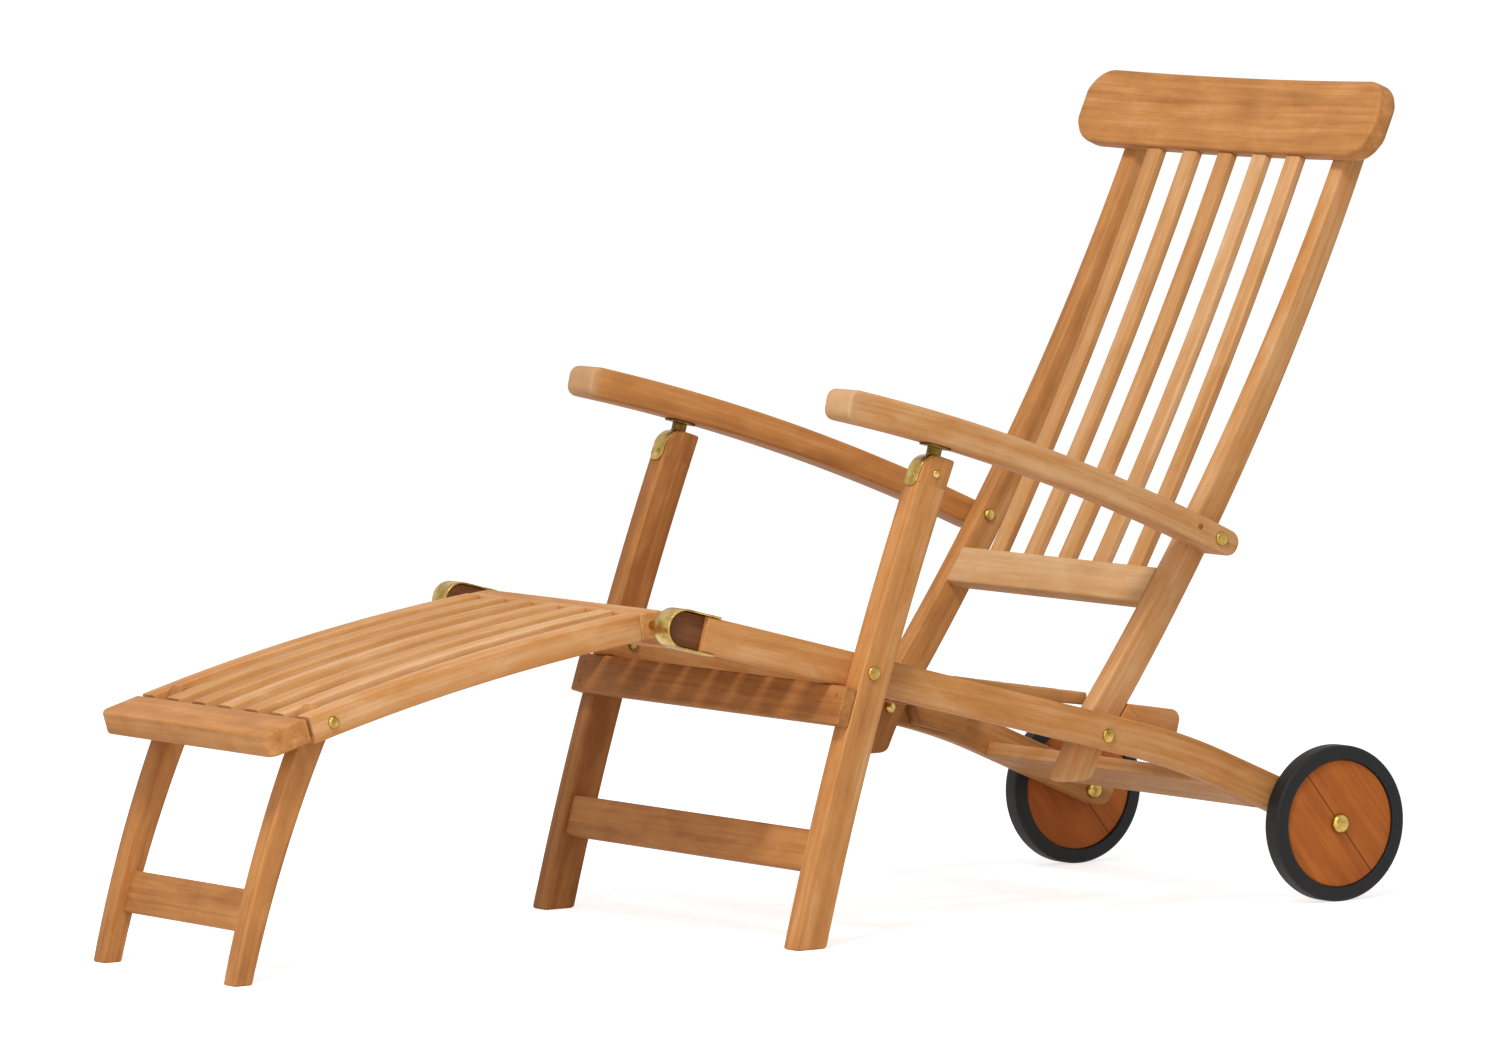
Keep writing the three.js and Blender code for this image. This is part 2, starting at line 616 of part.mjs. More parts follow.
// It is drawn about its middle, with Y behind and Z up: a bowed strip, cut to its round corners.
function headboard() {
  const reach = HEADBOARD_HALF + CUT_OVERRUN;
  const ahead = headboardForward(reach);
  const line = bowedCurve(sidePoint(-reach, -ahead), sidePoint(reach, -ahead), ahead);
  const plan = boardShape(line.getPoints(HEADBOARD_STEPS), HEADBOARD_THICKNESS, HEADBOARD_THICKNESS);
  const strip = flatBoard(plan, HEADBOARD_HEIGHT, EDGE_CHAMFER);
  const rise = HEADBOARD_HEIGHT / 2;
  const outline = roundedShape([
    { at: sidePoint(-HEADBOARD_HALF, -rise), radius: HEADBOARD_LOWER_FILLET },
    { at: sidePoint(HEADBOARD_HALF, -rise), radius: HEADBOARD_LOWER_FILLET },
    { at: sidePoint(HEADBOARD_HALF, rise), radius: HEADBOARD_TOP_FILLET },
    { at: sidePoint(-HEADBOARD_HALF, rise), radius: HEADBOARD_TOP_FILLET },
  ]);
  const depth = HEADBOARD_THICKNESS + 2 * (ahead + CUT_OVERRUN);
  const cutter = flatBoard(new THREE.Shape(outline.getPoints(CORNER_STEPS)), depth, 0);
  return toGeometry(toSolid(strip).intersect(toSolid(cutter.rotateX(Math.PI / 2))));
}

// Depth of a stile at a share of its curve. The taper runs on past both ends of the curve.
function stileDepthAt(share) {
  const whole = (1 + STILE_STEPS * share) / (STILE_STEPS + 2);
  return THREE.MathUtils.lerp(STILE_FOOT_DEPTH, STILE_TOP_DEPTH, whole);
}

// Back stile: a foot below the pivot, a long bow, and a straight end behind the headboard.
function backStile() {
  const points = [
    backPivot.clone().sub(sidePoint(STILE_FOOT_FORWARD, STILE_FOOT_DROP)),
    ...stileCurve.getPoints(STILE_STEPS),
    stepFrom(stileTop, headboardUp, STILE_LAP),
  ];
  const shape = boardShape(points, STILE_FOOT_DEPTH, STILE_TOP_DEPTH, {
    startCut: sidePoint(-1, 0),
    startRadius: STILE_FOOT_FILLET,
  });
  drill(shape, backPivot, BOLT_RADIUS);
  return sideBoard(shape, STILE_THICKNESS, EDGE_CHAMFER);
}

// The lower back rail is flush with the fronts of the stiles.
const lowerRailShare = shareAtHeight(stileCurve, backPivot.y + LOWER_RAIL_RISE);
const lowerRailSlope = stileCurve.getTangent(lowerRailShare);
const lowerRailAhead = leftOf(lowerRailSlope);
const lowerRailForward = (stileDepthAt(lowerRailShare) - LOWER_RAIL_THICKNESS) / 2;
const lowerRailAt = stepFrom(stileCurve.getPoint(lowerRailShare), lowerRailAhead, lowerRailForward);

function lowerBackRail() {
  const shape = barShape(LOWER_RAIL_HEIGHT, LOWER_RAIL_THICKNESS, EDGE_CHAMFER);
  return sideBoard(shape, 2 * (stileInner - FIT), 0);
}

// Back slat at a distance x from the centre plane: it stands on the rear part of the lower back
// rail and ends under the middle of the headboard's edge.
function backSlat(x) {
  const setback = (LOWER_RAIL_THICKNESS - BACK_SLAT_THICKNESS) / 2 - SLAT_EDGE;
  const railTop = stepFrom(lowerRailAt, lowerRailSlope, LOWER_RAIL_HEIGHT / 2 + FIT);
  const foot = stepFrom(railTop, lowerRailAhead, -setback);
  const head = stepFrom(stepFrom(headboardFoot, headboardUp, -FIT), headboardAhead, headboardForward(x));
  const line = bowedCurve(foot, head, -BACK_SLAT_BOW);
  return sideBoard(boardShape(line.getPoints(6), BACK_SLAT_THICKNESS, BACK_SLAT_THICKNESS, {
    startCut: lowerRailAhead,
    endCut: headboardAhead,
  }), BACK_SLAT_WIDTH, SLAT_EDGE);
}

// Footrest line: from the front face of its rear rail to the rear face of its front board
const footrestEnd = footrestPivot.clone().sub(sidePoint(FOOTREST_LENGTH, FOOTREST_DROP));
const footrestCurve = bowedCurve(footrestPivot, footrestEnd, -FOOTREST_BOW);
const footrestSlope = footrestCurve.getTangent(0);
const footrestEndSlope = footrestCurve.getTangent(1);
const footrestUp = (share) => leftOf(footrestCurve.getTangent(share)).negate();

// Points along the footrest line, raised by a distance, between its rear rail and front board
function footrestPoints(rise) {
  const firstShare = (FOOTREST_REAR_RAIL_SIZE / 2 + FIT) / footrestCurve.getLength();
  const lastShare = 1 - FIT / footrestCurve.getLength();
  const steps = 6;
  return Array.from({ length: steps + 1 }, (_, i) => {
    const share = THREE.MathUtils.lerp(firstShare, lastShare, i / steps);
    return stepFrom(footrestCurve.getPoint(share), footrestUp(share), rise);
  });
}

const footrestCuts = { startCut: leftOf(footrestSlope), endCut: leftOf(footrestEndSlope) };
const footrestLegShare = 1 - FOOTREST_LEG_INSET / footrestCurve.getLength();
const footrestLegPivot = footrestCurve.getPoint(footrestLegShare);

function footrestRail() {
  const shape = boardShape(footrestPoints(0), FOOTREST_RAIL_DEPTH, FOOTREST_RAIL_DEPTH, footrestCuts);
  drill(shape, footrestLegPivot, FOOTREST_LEG_ROD_RADIUS);
  return sideBoard(shape, FOOTREST_RAIL_THICKNESS, SLAT_EDGE);
}

function footrestSlat() {
  const rise = (FOOTREST_RAIL_DEPTH - FOOTREST_SLAT_THICKNESS) / 2;
  const shape = boardShape(
    footrestPoints(rise),
    FOOTREST_SLAT_THICKNESS,
    FOOTREST_SLAT_THICKNESS,
    footrestCuts,
  );
  return sideBoard(shape, FOOTREST_SLAT_WIDTH, SLAT_EDGE);
}

function footrestRearRail() {
  const shape = barShape(FOOTREST_REAR_RAIL_SIZE, FOOTREST_REAR_RAIL_SIZE, EDGE_CHAMFER);
  drill(shape, sidePoint(0, 0), FOOTREST_ROD_RADIUS);
  return sideBoard(shape, 2 * FOOTREST_OUTER_HALF, 0);
}

// Board across the front of the footrest, with rounded outer corners. It is drawn from its rear edge.
function footrestFrontBoard() {
  const half = FOOTREST_OUTER_HALF;
  return flatBoard(roundedShape([
    { at: sidePoint(-half, 0), radius: 0 },
    { at: sidePoint(half, 0), radius: 0 },
    { at: sidePoint(half, FRONT_BOARD_WIDTH), radius: FRONT_BOARD_FILLET },
    { at: sidePoint(-half, FRONT_BOARD_WIDTH), radius: FRONT_BOARD_FILLET },
  ]), FRONT_BOARD_THICKNESS, EDGE_CHAMFER);
}

function crossRod(radius, halfLength) {
  return turned([[0, -halfLength], [radius, -halfLength], [radius, halfLength], [0, halfLength]]);
}

// Rod through the footrest legs and rails, with a domed head on each outer face
function footrestLegRod() {
  const reach = FOOTREST_OUTER_HALF + FIT;
  return turned([
    ...domeDown(BOLT_NUT_RADIUS, -reach, BOLT_HEAD_HEIGHT),
    [FOOTREST_LEG_ROD_RADIUS, -reach],
    [FOOTREST_LEG_ROD_RADIUS, reach],
    ...domeUp(BOLT_NUT_RADIUS, reach, BOLT_HEAD_HEIGHT),
  ]);
}

// Footrest leg: deep at the pivot, slim at the foot, bowed forward and sawn flat on the floor
const footrestFoot = sidePoint(footrestLegPivot.x - FOOTREST_LEG_FORWARD, 0);
const footrestLegCurve = bowedCurve(footrestFoot, footrestLegPivot, FOOTREST_LEG_BOW);

function footrestLeg() {
  const top = stepFrom(footrestLegPivot, footrestLegCurve.getTangent(1), FOOTREST_LEG_TOP_MARGIN);
  const shape = boardShape(
    [...footrestLegCurve.getPoints(6), top],
    FOOTREST_LEG_FOOT_DEPTH,
    FOOTREST_LEG_TOP_DEPTH,
    { startCut: sidePoint(-1, 0), endRadius: FOOTREST_LEG_FILLET },
  );
  drill(shape, footrestLegPivot, FOOTREST_LEG_ROD_RADIUS);
  return sideBoard(shape, FOOTREST_LEG_THICKNESS, SLAT_EDGE);
}

function footrestStretcher() {
  const shape = barShape(FOOTREST_STRETCHER_HEIGHT, FOOTREST_STRETCHER_THICKNESS, SLAT_EDGE);
  return sideBoard(shape, 2 * (footrestLegInner - FIT), 0);
}

function footrestStretcherPlace() {
  const share = shareAtHeight(footrestLegCurve, FOOTREST_STRETCHER_LIFT);
  const slope = footrestLegCurve.getTangent(share);
  const depth = THREE.MathUtils.lerp(FOOTREST_LEG_FOOT_DEPTH, FOOTREST_LEG_TOP_DEPTH, share);
  const forward = depth / 2 - FOOTREST_STRETCHER_INSET - FOOTREST_STRETCHER_THICKNESS / 2;
  return { at: stepFrom(footrestLegCurve.getPoint(share), leftOf(slope), forward), slope };
}

// Wheels: a tyre round a wooden disc, both turned about X
const discRadius = WHEEL_RADIUS - TYRE_DEPTH;
const tyreInner = RAIL_OUTER_HALF + WHEEL_PLAY;
const tyreOuter = tyreInner + TYRE_WIDTH;
const discInner = tyreInner + (TYRE_WIDTH - DISC_THICKNESS) / 2;
const discOuter = discInner + DISC_THICKNESS;

function wheelTyre() {
  const bore = discRadius + FIT;
  return turned([
    [bore, tyreInner],
    [WHEEL_RADIUS - TYRE_SHOULDER, tyreInner],
    [WHEEL_RADIUS, tyreInner + TYRE_SHOULDER],
    [WHEEL_RADIUS, tyreOuter - TYRE_SHOULDER],
    [WHEEL_RADIUS - TYRE_SHOULDER, tyreOuter],
    [bore, tyreOuter],
    [bore, tyreInner],
  ]);
}

function wheelDisc() {
  const bore = (AXLE_RADIUS + PIN_PLAY) / Math.cos(Math.PI / ROUND_SIDES);
  return turned([
    [bore, discInner],
    [discRadius, discInner],
    [discRadius, discOuter],
    [bore, discOuter],
    [bore, discInner],
  ]);
}

// Stub axle through the rail tail and the wheel, with a cap nut inside and a domed cap outside
function wheelAxle() {
  return turned([
    ...domeDown(AXLE_NUT_RADIUS, railInner - FIT, AXLE_NUT_HEIGHT),
    [AXLE_RADIUS, railInner - FIT],
    [AXLE_RADIUS, discOuter + FIT],
    ...domeUp(AXLE_CAP_RADIUS, discOuter + FIT, AXLE_CAP_HEIGHT),
  ]);
}

// A group that turns about a pivot of the side plane. What is added to it keeps its own place.
function hinged(parent, pivot) {
  const hinge = new THREE.Group();
  hinge.position.set(0, pivot.x, pivot.y);
  const content = new THREE.Group();
  content.position.set(0, -pivot.x, -pivot.y);
  hinge.add(content);
  parent.add(hinge);
  return content;
}

// Adds one named piece at x, at a place of the side plane, turned so that its own Y follows slope.
function addPiece(parent, name, geometry, material, x = 0, at = sidePoint(0, 0), slope = sidePoint(1, 0)) {
  const mesh = new THREE.Mesh(geometry, material);
  mesh.name = name;
  mesh.position.set(x, at.x, at.y);
  mesh.rotation.x = Math.atan2(slope.y, slope.x);
  parent.add(mesh);
  return mesh;
}

const SIDES = [['left', 1], ['right', -1]];

// Adds a left and a right copy of a board at the same distance from the centre plane.
function addPair(parent, name, make, material, x, at, slope) {
  SIDES.forEach(([side, sign]) => {
    addPiece(parent, `${name}_${side}`, make(), material(), sign * x, at, slope);
  });
}

// Adds a turned piece and its mirror image, both drawn from the centre plane outward.
function addTurnedPair(parent, name, make, material, at) {
  SIDES.forEach(([side, sign]) => {
    const mesh = addPiece(parent, `${name}_${side}`, make(), material(), 0, at);
    if (sign < 0) mesh.rotation.z = Math.PI;
  });
}

// Distance of the outer slats from the centre plane, where a gap lies between them and a side board.
const slatReach = (inner, gap, width) => inner - gap - width / 2;

// Adds a row of slats about the centre plane, numbered from the sitter's right.
function addSlats(parent, name, count, reach, make) {
  for (let i = 0; i < count; i += 1) {
    const x = reach * (2 * i / (count - 1) - 1);
    addPiece(parent, `${name}_${i + 1}`, make(x), slatTeak(), x);
  }
}

function addSeat(parent) {
  addPair(parent, 'seat_rail', seatRail, frameTeak, railMiddle);
  addPair(parent, 'rail_end_strap', railEndStrap, brass, railMiddle, footrestPivot, railAlong);
  const front = underSlats(CROSS_RAIL_FRONT_INSET);
  const rear = underSlats(seatSlatLength - CROSS_RAIL_REAR_INSET);
  addPiece(parent, 'seat_front_cross_rail', seatCrossRail(), frameTeak(), 0, front.at, front.slope);
  addPiece(parent, 'seat_rear_cross_rail', seatCrossRail(), frameTeak(), 0, rear.at, rear.slope);
  const reach = slatReach(railInner, SEAT_SLAT_SIDE_GAP, SEAT_SLAT_WIDTH);
  addSlats(parent, 'seat_slat', SEAT_SLAT_COUNT, reach, seatSlat);
  const boardDrop = (CROSS_BOARD_THICKNESS - RAIL_DEPTH) / 2;
  const boardAt = stepFrom(stepFrom(railOverAxle, tailAlong, -CROSS_BOARD_SETBACK), tailUp, boardDrop);
  addPiece(parent, 'rear_cross_board', rearCrossBoard(), frameTeak(), 0, boardAt, tailAlong);
  addPair(parent, 'back_stop_block', backStopBlock, frameTeak, stileInner + STILE_THICKNESS / 2);
  addTurnedPair(parent, 'wheel_axle', wheelAxle, brass, axle);
  addTurnedPair(parent, 'leg_pivot_bolt', () => boltBetween(railInner, legOuter), brass, legPivot);
  const backBolt = () => boltBetween(stileInner, RAIL_OUTER_HALF);
  addTurnedPair(parent, 'back_pivot_bolt', backBolt, brass, backPivot);
}

function addLegFrame(parent) {
  addPair(parent, 'front_leg', frontLeg, frameTeak, legMiddle);
  const apron = apronPlace();
  addPiece(parent, 'front_apron', frontApron(), frameTeak(), 0, apron.at, apron.slope);
  const stretcher = onLegs(STRETCHER_LIFT, STRETCHER_INSET, STRETCHER_THICKNESS);
  addPiece(parent, 'leg_stretcher', legStretcher(), frameTeak(), 0, stretcher.at, stretcher.slope);
}

function addArm(parent, side, sign) {
  addPiece(parent, `arm_${side}`, arm(sign), frameTeak(), sign * (armInner + ARM_THICKNESS / 2));
  const fittings = [
    addPiece(parent, `arm_bracket_${side}`, armBracket(), brass(), sign * legMiddle, armPivot, armSlope),
    addPiece(parent, `arm_bolt_${side}`, armBoltGeometry(), brass(), 0, armBolt),
  ];
  if (sign < 0) fittings.forEach((mesh) => { mesh.rotation.z = Math.PI; });
}

function addBackrest(parent) {
  addPair(parent, 'back_stile', backStile, frameTeak, stileInner + STILE_THICKNESS / 2);
  addPiece(parent, 'lower_back_rail', lowerBackRail(), paleTeak(), 0, lowerRailAt, lowerRailSlope);
  const reach = slatReach(stileInner, BACK_SLAT_SIDE_GAP, BACK_SLAT_WIDTH);
  addSlats(parent, 'back_slat', BACK_SLAT_COUNT, reach, backSlat);
  addPiece(parent, 'headboard', headboard(), frameTeak(), 0, headboardMiddle, headboardBehind);
}

function addFootrest(parent) {
  const railAt = footrestRailInner + FOOTREST_RAIL_THICKNESS / 2;
  addPair(parent, 'footrest_rail', footrestRail, frameTeak, railAt);
  const reach = slatReach(footrestRailInner, FOOTREST_SLAT_SIDE_GAP, FOOTREST_SLAT_WIDTH);
  addSlats(parent, 'footrest_slat', FOOTREST_SLAT_COUNT, reach, footrestSlat);
  addPiece(parent, 'footrest_rear_rail', footrestRearRail(), frameTeak(), 0, footrestPivot, footrestSlope);
  const rise = (FOOTREST_RAIL_DEPTH - FRONT_BOARD_THICKNESS) / 2;
  const boardAt = stepFrom(footrestEnd, footrestUp(1), rise);
  addPiece(parent, 'footrest_front_board', footrestFrontBoard(), frameTeak(), 0, boardAt, footrestEndSlope);
  const rod = crossRod(FOOTREST_ROD_RADIUS, railInner + FOOTREST_ROD_BITE);
  addPiece(parent, 'footrest_pivot_rod', rod, brass(), 0, footrestPivot);
}

function addFootrestLegs(parent) {
  const legAt = footrestLegInner + FOOTREST_LEG_THICKNESS / 2;
  addPair(parent, 'footrest_leg', footrestLeg, frameTeak, legAt);
  const { at, slope } = footrestStretcherPlace();
  addPiece(parent, 'footrest_leg_stretcher', footrestStretcher(), frameTeak(), 0, at, slope);
  addPiece(parent, 'footrest_leg_pivot_rod', footrestLegRod(), brass(), 0, footrestLegPivot);
}

function addWheel(parent, side, sign) {
  const parts = [
    addPiece(parent, `wheel_disc_${side}`, wheelDisc(), wheelTeak(), 0, axle),
    addPiece(parent, `wheel_tyre_${side}`, wheelTyre(), rubber(), 0, axle),
  ];
  if (sign < 0) parts.forEach((mesh) => { mesh.rotation.z = Math.PI; });
}

const frame = new THREE.Group();
addSeat(frame);
const legFrame = hinged(frame, legPivot);
addLegFrame(legFrame);
SIDES.forEach(([side, sign]) => addArm(hinged(legFrame, armPivot), side, sign));
addBackrest(hinged(frame, backPivot));
const footrest = hinged(frame, footrestPivot);
addFootrest(footrest);
addFootrestLegs(hinged(footrest, footrestLegPivot));
SIDES.forEach(([side, sign]) => addWheel(hinged(frame, axle), side, sign));

// The origin is on the floor, under the middle of the whole chair.
const chair = new THREE.Group();
chair.add(frame);
const box = new THREE.Box3().setFromObject(chair, true);
frame.position.y = -(box.min.y + box.max.y) / 2;

export default chair;
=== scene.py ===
import math
from itertools import count

import bpy
import numpy as np
from mathutils import Matrix, Vector


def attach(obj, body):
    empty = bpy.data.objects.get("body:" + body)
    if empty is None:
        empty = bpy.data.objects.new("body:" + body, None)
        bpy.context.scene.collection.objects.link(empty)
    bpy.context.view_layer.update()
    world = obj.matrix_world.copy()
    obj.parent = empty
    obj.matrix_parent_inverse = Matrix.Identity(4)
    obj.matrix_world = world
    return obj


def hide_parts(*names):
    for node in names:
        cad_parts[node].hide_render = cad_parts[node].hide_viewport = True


# A steamer deck chair in bare teak, with brass fittings and two wheels with rubber tyres.
# The values are millimetres and the meshes are metres. Boards of the chair's sides are drawn in
# the side plane, where a point is (distance behind the wheel axle, height above the floor).

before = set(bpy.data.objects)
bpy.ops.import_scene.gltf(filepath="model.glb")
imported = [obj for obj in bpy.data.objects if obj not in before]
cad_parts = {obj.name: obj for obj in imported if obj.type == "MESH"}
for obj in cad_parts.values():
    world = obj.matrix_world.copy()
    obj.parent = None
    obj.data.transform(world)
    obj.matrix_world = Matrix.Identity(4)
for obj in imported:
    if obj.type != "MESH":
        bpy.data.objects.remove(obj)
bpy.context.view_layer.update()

MILLIMETRE = 0.001
AXLE_BEHIND_MIDDLE = 659.7062

# The camera that the photograph was taken with, found from the chair's own straight lines
CAMERA_PLACE = (11341.87, -7283.60, 1547.84)
CAMERA_TURN = math.radians(57.3641)
CAMERA_HEIGHT = math.radians(4.6066)
CAMERA_ROLL = math.radians(-0.9352)
CAMERA_LENS = 279.975
CAMERA_SENSOR = 36.0
CAMERA_SHIFT = (0.02211, -0.00087)

# Fits and bolts, shared with the solids
FIT = 0.3
SIDES = (("left", 1), ("right", -1))
POLE = 0.02
SHANK_RADIUS = 4
HEAD_RADIUS = 8
HEAD_HEIGHT = 4
NUT_RADIUS = 7
NUT_HEIGHT = 5.5

# Seat rails and what they carry
SEAT_LENGTH = 889
SEAT_FRONT_HEIGHT = 374
RAIL_BEND = (-205, 190)
RAIL_BEND_EASE = 60
RAIL_TAIL = 32
RAIL_DEPTH = 41
RAIL_THICKNESS = 28
RAIL_OUTER = 256
RAIL_OVER_AXLE = 98
RAIL_NOSE_REBATE = 7.6
RAIL_NOSE_LENGTH = 49
STRAP_REACH = 46
STRAP_WIDTH = 30
STRAP_THICKNESS = 2.2
STRAP_SCREW_SETBACK = 8
STRAP_SCREW_RADIUS = 3.4

SLAT_COUNT = 7
SLAT_REACH = 172.5
SLAT_WIDTH = 40
SLAT_THICKNESS = 15
SLAT_SETBACK = 27
SLAT_REAR_LEAD = 2.6
SLAT_REAR_RISE = 22
SLAT_REAR_SPARE = 8
SLAT_SAG = 12
CROSS_RAIL_WIDTH = 20
CROSS_RAIL_DEPTH = 24
CROSS_RAIL_FRONT = 16
CROSS_RAIL_REAR = 56
REAR_BOARD_WIDTH = 85
REAR_BOARD_THICKNESS = 17
REAR_BOARD_LEAD = 120
STOP_FRONT = 50
STOP_REAR = 115
STOP_FOOT = -12
STOP_HEIGHT = 51
STOP_TOUCH = (30, 55)
STOP_ROUND = 12.0

# Wheels and their stub axles
WHEEL_RADIUS = 92
WHEEL_PLAY = 1.5
TYRE_WIDTH = 26.5
TYRE_DEPTH = 17.2
TYRE_SHOULDER = 4.5
TYRE_BEAD = 1.5
DISC_INSET = 3.25
DISC_THICKNESS = 20
DISC_EDGE = 1.6
DISC_BORE = 6.6
WHEEL_JOINT = (66.8, -88.0)
AXLE_RADIUS = 6
AXLE_CAP_RADIUS = 12
AXLE_CAP_HEIGHT = 9.5
AXLE_NUT_RADIUS = 10
AXLE_NUT_HEIGHT = 10

# Front legs, arms and backrest
LEG_PIVOT_REACH = 654
LEG_FOOT_FORWARD = 90
LEG_PIVOT_LEAD = 5.5
LEG_DEPTH = 40
LEG_THICKNESS = 29.7
LEG_TOP = 20
LEG_TOP_REAR = 22
LEG_TOP_ROUND = 22
LEG_SLOT_DEPTH = 14
LEG_SLOT_WIDTH = 5.6
LEG_PIN_RADIUS = 4.6
APRON_DROP = 46
APRON_HEIGHT = 46
APRON_THICKNESS = 16.5
APRON_GAP = 0.6
APRON_PLUG_RISE = 11
APRON_PLUG_RADIUS = 3.0
STRETCHER_RISE = 107
STRETCHER_INSET = 5
STRETCHER_HEIGHT = 48
STRETCHER_THICKNESS = 20
WEAR_STRAP_LENGTH = 20
WEAR_STRAP_WIDTH = 24
WEAR_STRAP_THICKNESS = 2.0
WEAR_STRAP_OFF = 1.1
WEAR_SCREW_RISE = 9
WEAR_SCREW_RADIUS = 4.2
ARM_PIVOT_SETBACK = 90
ARM_PIVOT_HEIGHT = 534
ARM_RISE = 53
ARM_OVERHANG = 128
ARM_FRONT_RISE = 34
ARM_TAIL = 28
ARM_THICKNESS = 52
ARM_DEPTHS = (37, 30)
ARM_TAPER_SHARE = 13 / 14
BRACKET_HALF = 15
BRACKET_WIDTH = 22
BRACKET_THICKNESS = 3
TONGUE_HALF = 9
TONGUE_THICKNESS = 5
TONGUE_DROP = 1.5
ARM_BOLT_COVER = 6
ARM_PLUG_LEAD = 34
ARM_PLUG_RISE = 2
ARM_PLUG_RADIUS = 3.6
BACK_PIVOT_REACH = 310
BACK_PIVOT_DROP = 4
BACK_RUN = 381
BACK_RISE = 648
BACK_BOW = 21
STILE_FOOT = (27, 54)
STILE_DEPTHS = (41, 26.5)
STILE_THICKNESS = 26
STILE_LAP = 70
STILE_SPANS = 9
STILE_BEND_EASE = 25.0
ARM_BOLT_RISE = 222
ARM_BOLT_LEAD = 7
LOWER_RAIL_RISE = 157
LOWER_RAIL_HEIGHT = 47
LOWER_RAIL_THICKNESS = 20
BACK_SLAT_COUNT = 5
BACK_SLAT_REACH = 143
BACK_SLAT_WIDTH = 28
BACK_SLAT_THICKNESS = 11
BACK_SLAT_BOW = 7
BACK_SLAT_LEAD = 1.5
HEADBOARD_HALF = 304
HEADBOARD_HEIGHT = 93.5
HEADBOARD_THICKNESS = 23
HEADBOARD_BOW = 11.5
HEADBOARD_DROP = 4.7
HEADBOARD_FILLETS = (41, 39)
HEADBOARD_SPARE = 0.6

# Footrest
FOOTREST_HALF = 187
FOOTREST_LENGTH = 454
FOOTREST_DROP = 91.5
FOOTREST_BOW = 9.5
FOOTREST_RAIL_DEPTH = 32
FOOTREST_RAIL_THICKNESS = 27
FOOTREST_SLAT_COUNT = 5
FOOTREST_SLAT_REACH = 116.6
FOOTREST_SLAT_WIDTH = 28
FOOTREST_SLAT_THICKNESS = 11.5
FOOTREST_REAR_RAIL = 30
FOOTREST_BOARD_WIDTH = 56
FOOTREST_BOARD_THICKNESS = 28
FOOTREST_ROD_HALF = 248
FOOTREST_ROD_RADIUS = 5
FOOTREST_LEG_INSET = 32
FOOTREST_LEG_FORWARD = 107
FOOTREST_LEG_BOW = 8
FOOTREST_LEG_TOP = 15
FOOTREST_LEG_DEPTHS = (23, 34)
FOOTREST_LEG_THICKNESS = 26
FOOTREST_LEG_TAPER_SHARE = 6 / 7
FOOTREST_STRETCHER_RISE = 81
FOOTREST_STRETCHER_HEIGHT = 48
FOOTREST_STRETCHER_THICKNESS = 14
FOOTREST_STRETCHER_INSET = 12
FOOTREST_LEG_ROD_RADIUS = 3.5


# Side plane

def point(y, z):
    """A place or a step in the side plane."""
    return np.array([y, z], float)


def unit(vector):
    """A vector divided by its length."""
    return vector / np.linalg.norm(vector, axis=-1, keepdims=True)


def left_of(vector):
    """A quarter turn of a side-plane vector: forward for one that points up."""
    return np.stack([-vector[..., 1], vector[..., 0]], axis=-1)


def bezier(start, control, end, steps=60):
    """Quadratic curve: each point is the blend (1-t)^2, 2t(1-t), t^2 of its three points."""
    t = np.linspace(0, 1, steps + 1)[:, None]
    return (1 - t) ** 2 * start + 2 * t * (1 - t) * control + t ** 2 * end


def control_through(start, via, end):
    """Control point of the curve that passes a third point at its share of the two chords."""
    before = np.linalg.norm(via - start)
    share = before / (before + np.linalg.norm(end - via))
    return (via - (1 - share) ** 2 * start - share ** 2 * end) / (2 * share * (1 - share))


def control_bowed(start, end, bow):
    """Control point of the curve whose middle lies off its chord, to the left."""
    return (start + end) / 2 + 2 * bow * left_of(unit(end - start))


def tangents(line):
    """Direction at each point of a line: the difference of its neighbours."""
    return unit(np.gradient(line, axis=0))


def read_off(line, run, at):
    """Rows of a line at given distances, each a straight blend of the two rows beside it."""
    return np.stack([np.interp(at, run, line[:, k]) for k in (0, 1)], axis=-1)


def run_of(line):
    """Distance along a line to each of its points: the sum of the steps before it."""
    return np.concatenate([[0], np.cumsum(np.linalg.norm(np.diff(line, axis=0), axis=1))])


def at_height(line, height):
    """Place and direction of a rising line at a height."""
    place = point(np.interp(height, line[:, 1], line[:, 0]), height)
    return place, unit(read_off(tangents(line), line[:, 1], height))


def in_space(points, x):
    """Side-plane points as points of the chair, at a distance x from its centre plane."""
    points = np.atleast_2d(points)
    across = np.zeros(len(points)) + x
    return np.stack([across, points[:, 0] + AXLE_BEHIND_MIDDLE, points[:, 1]], axis=-1)


def along_space(vectors):
    """Side-plane directions as directions of the chair."""
    vectors = np.atleast_2d(vectors)
    return np.stack([np.zeros(len(vectors)), vectors[:, 0], vectors[:, 1]], axis=-1)


# Shapes. Each is a dictionary of vertices, faces, smooth flags and grain places.

CORNER_POINTS = 5


def drawn_in(distance, radius):
    """How far a rounded corner lies inside its edge, at a distance from the end: the radius less
    the height of a quarter circle."""
    inside = radius - np.clip(distance, 0, radius)
    return radius - np.sqrt(np.maximum(radius ** 2 - inside ** 2, 0))


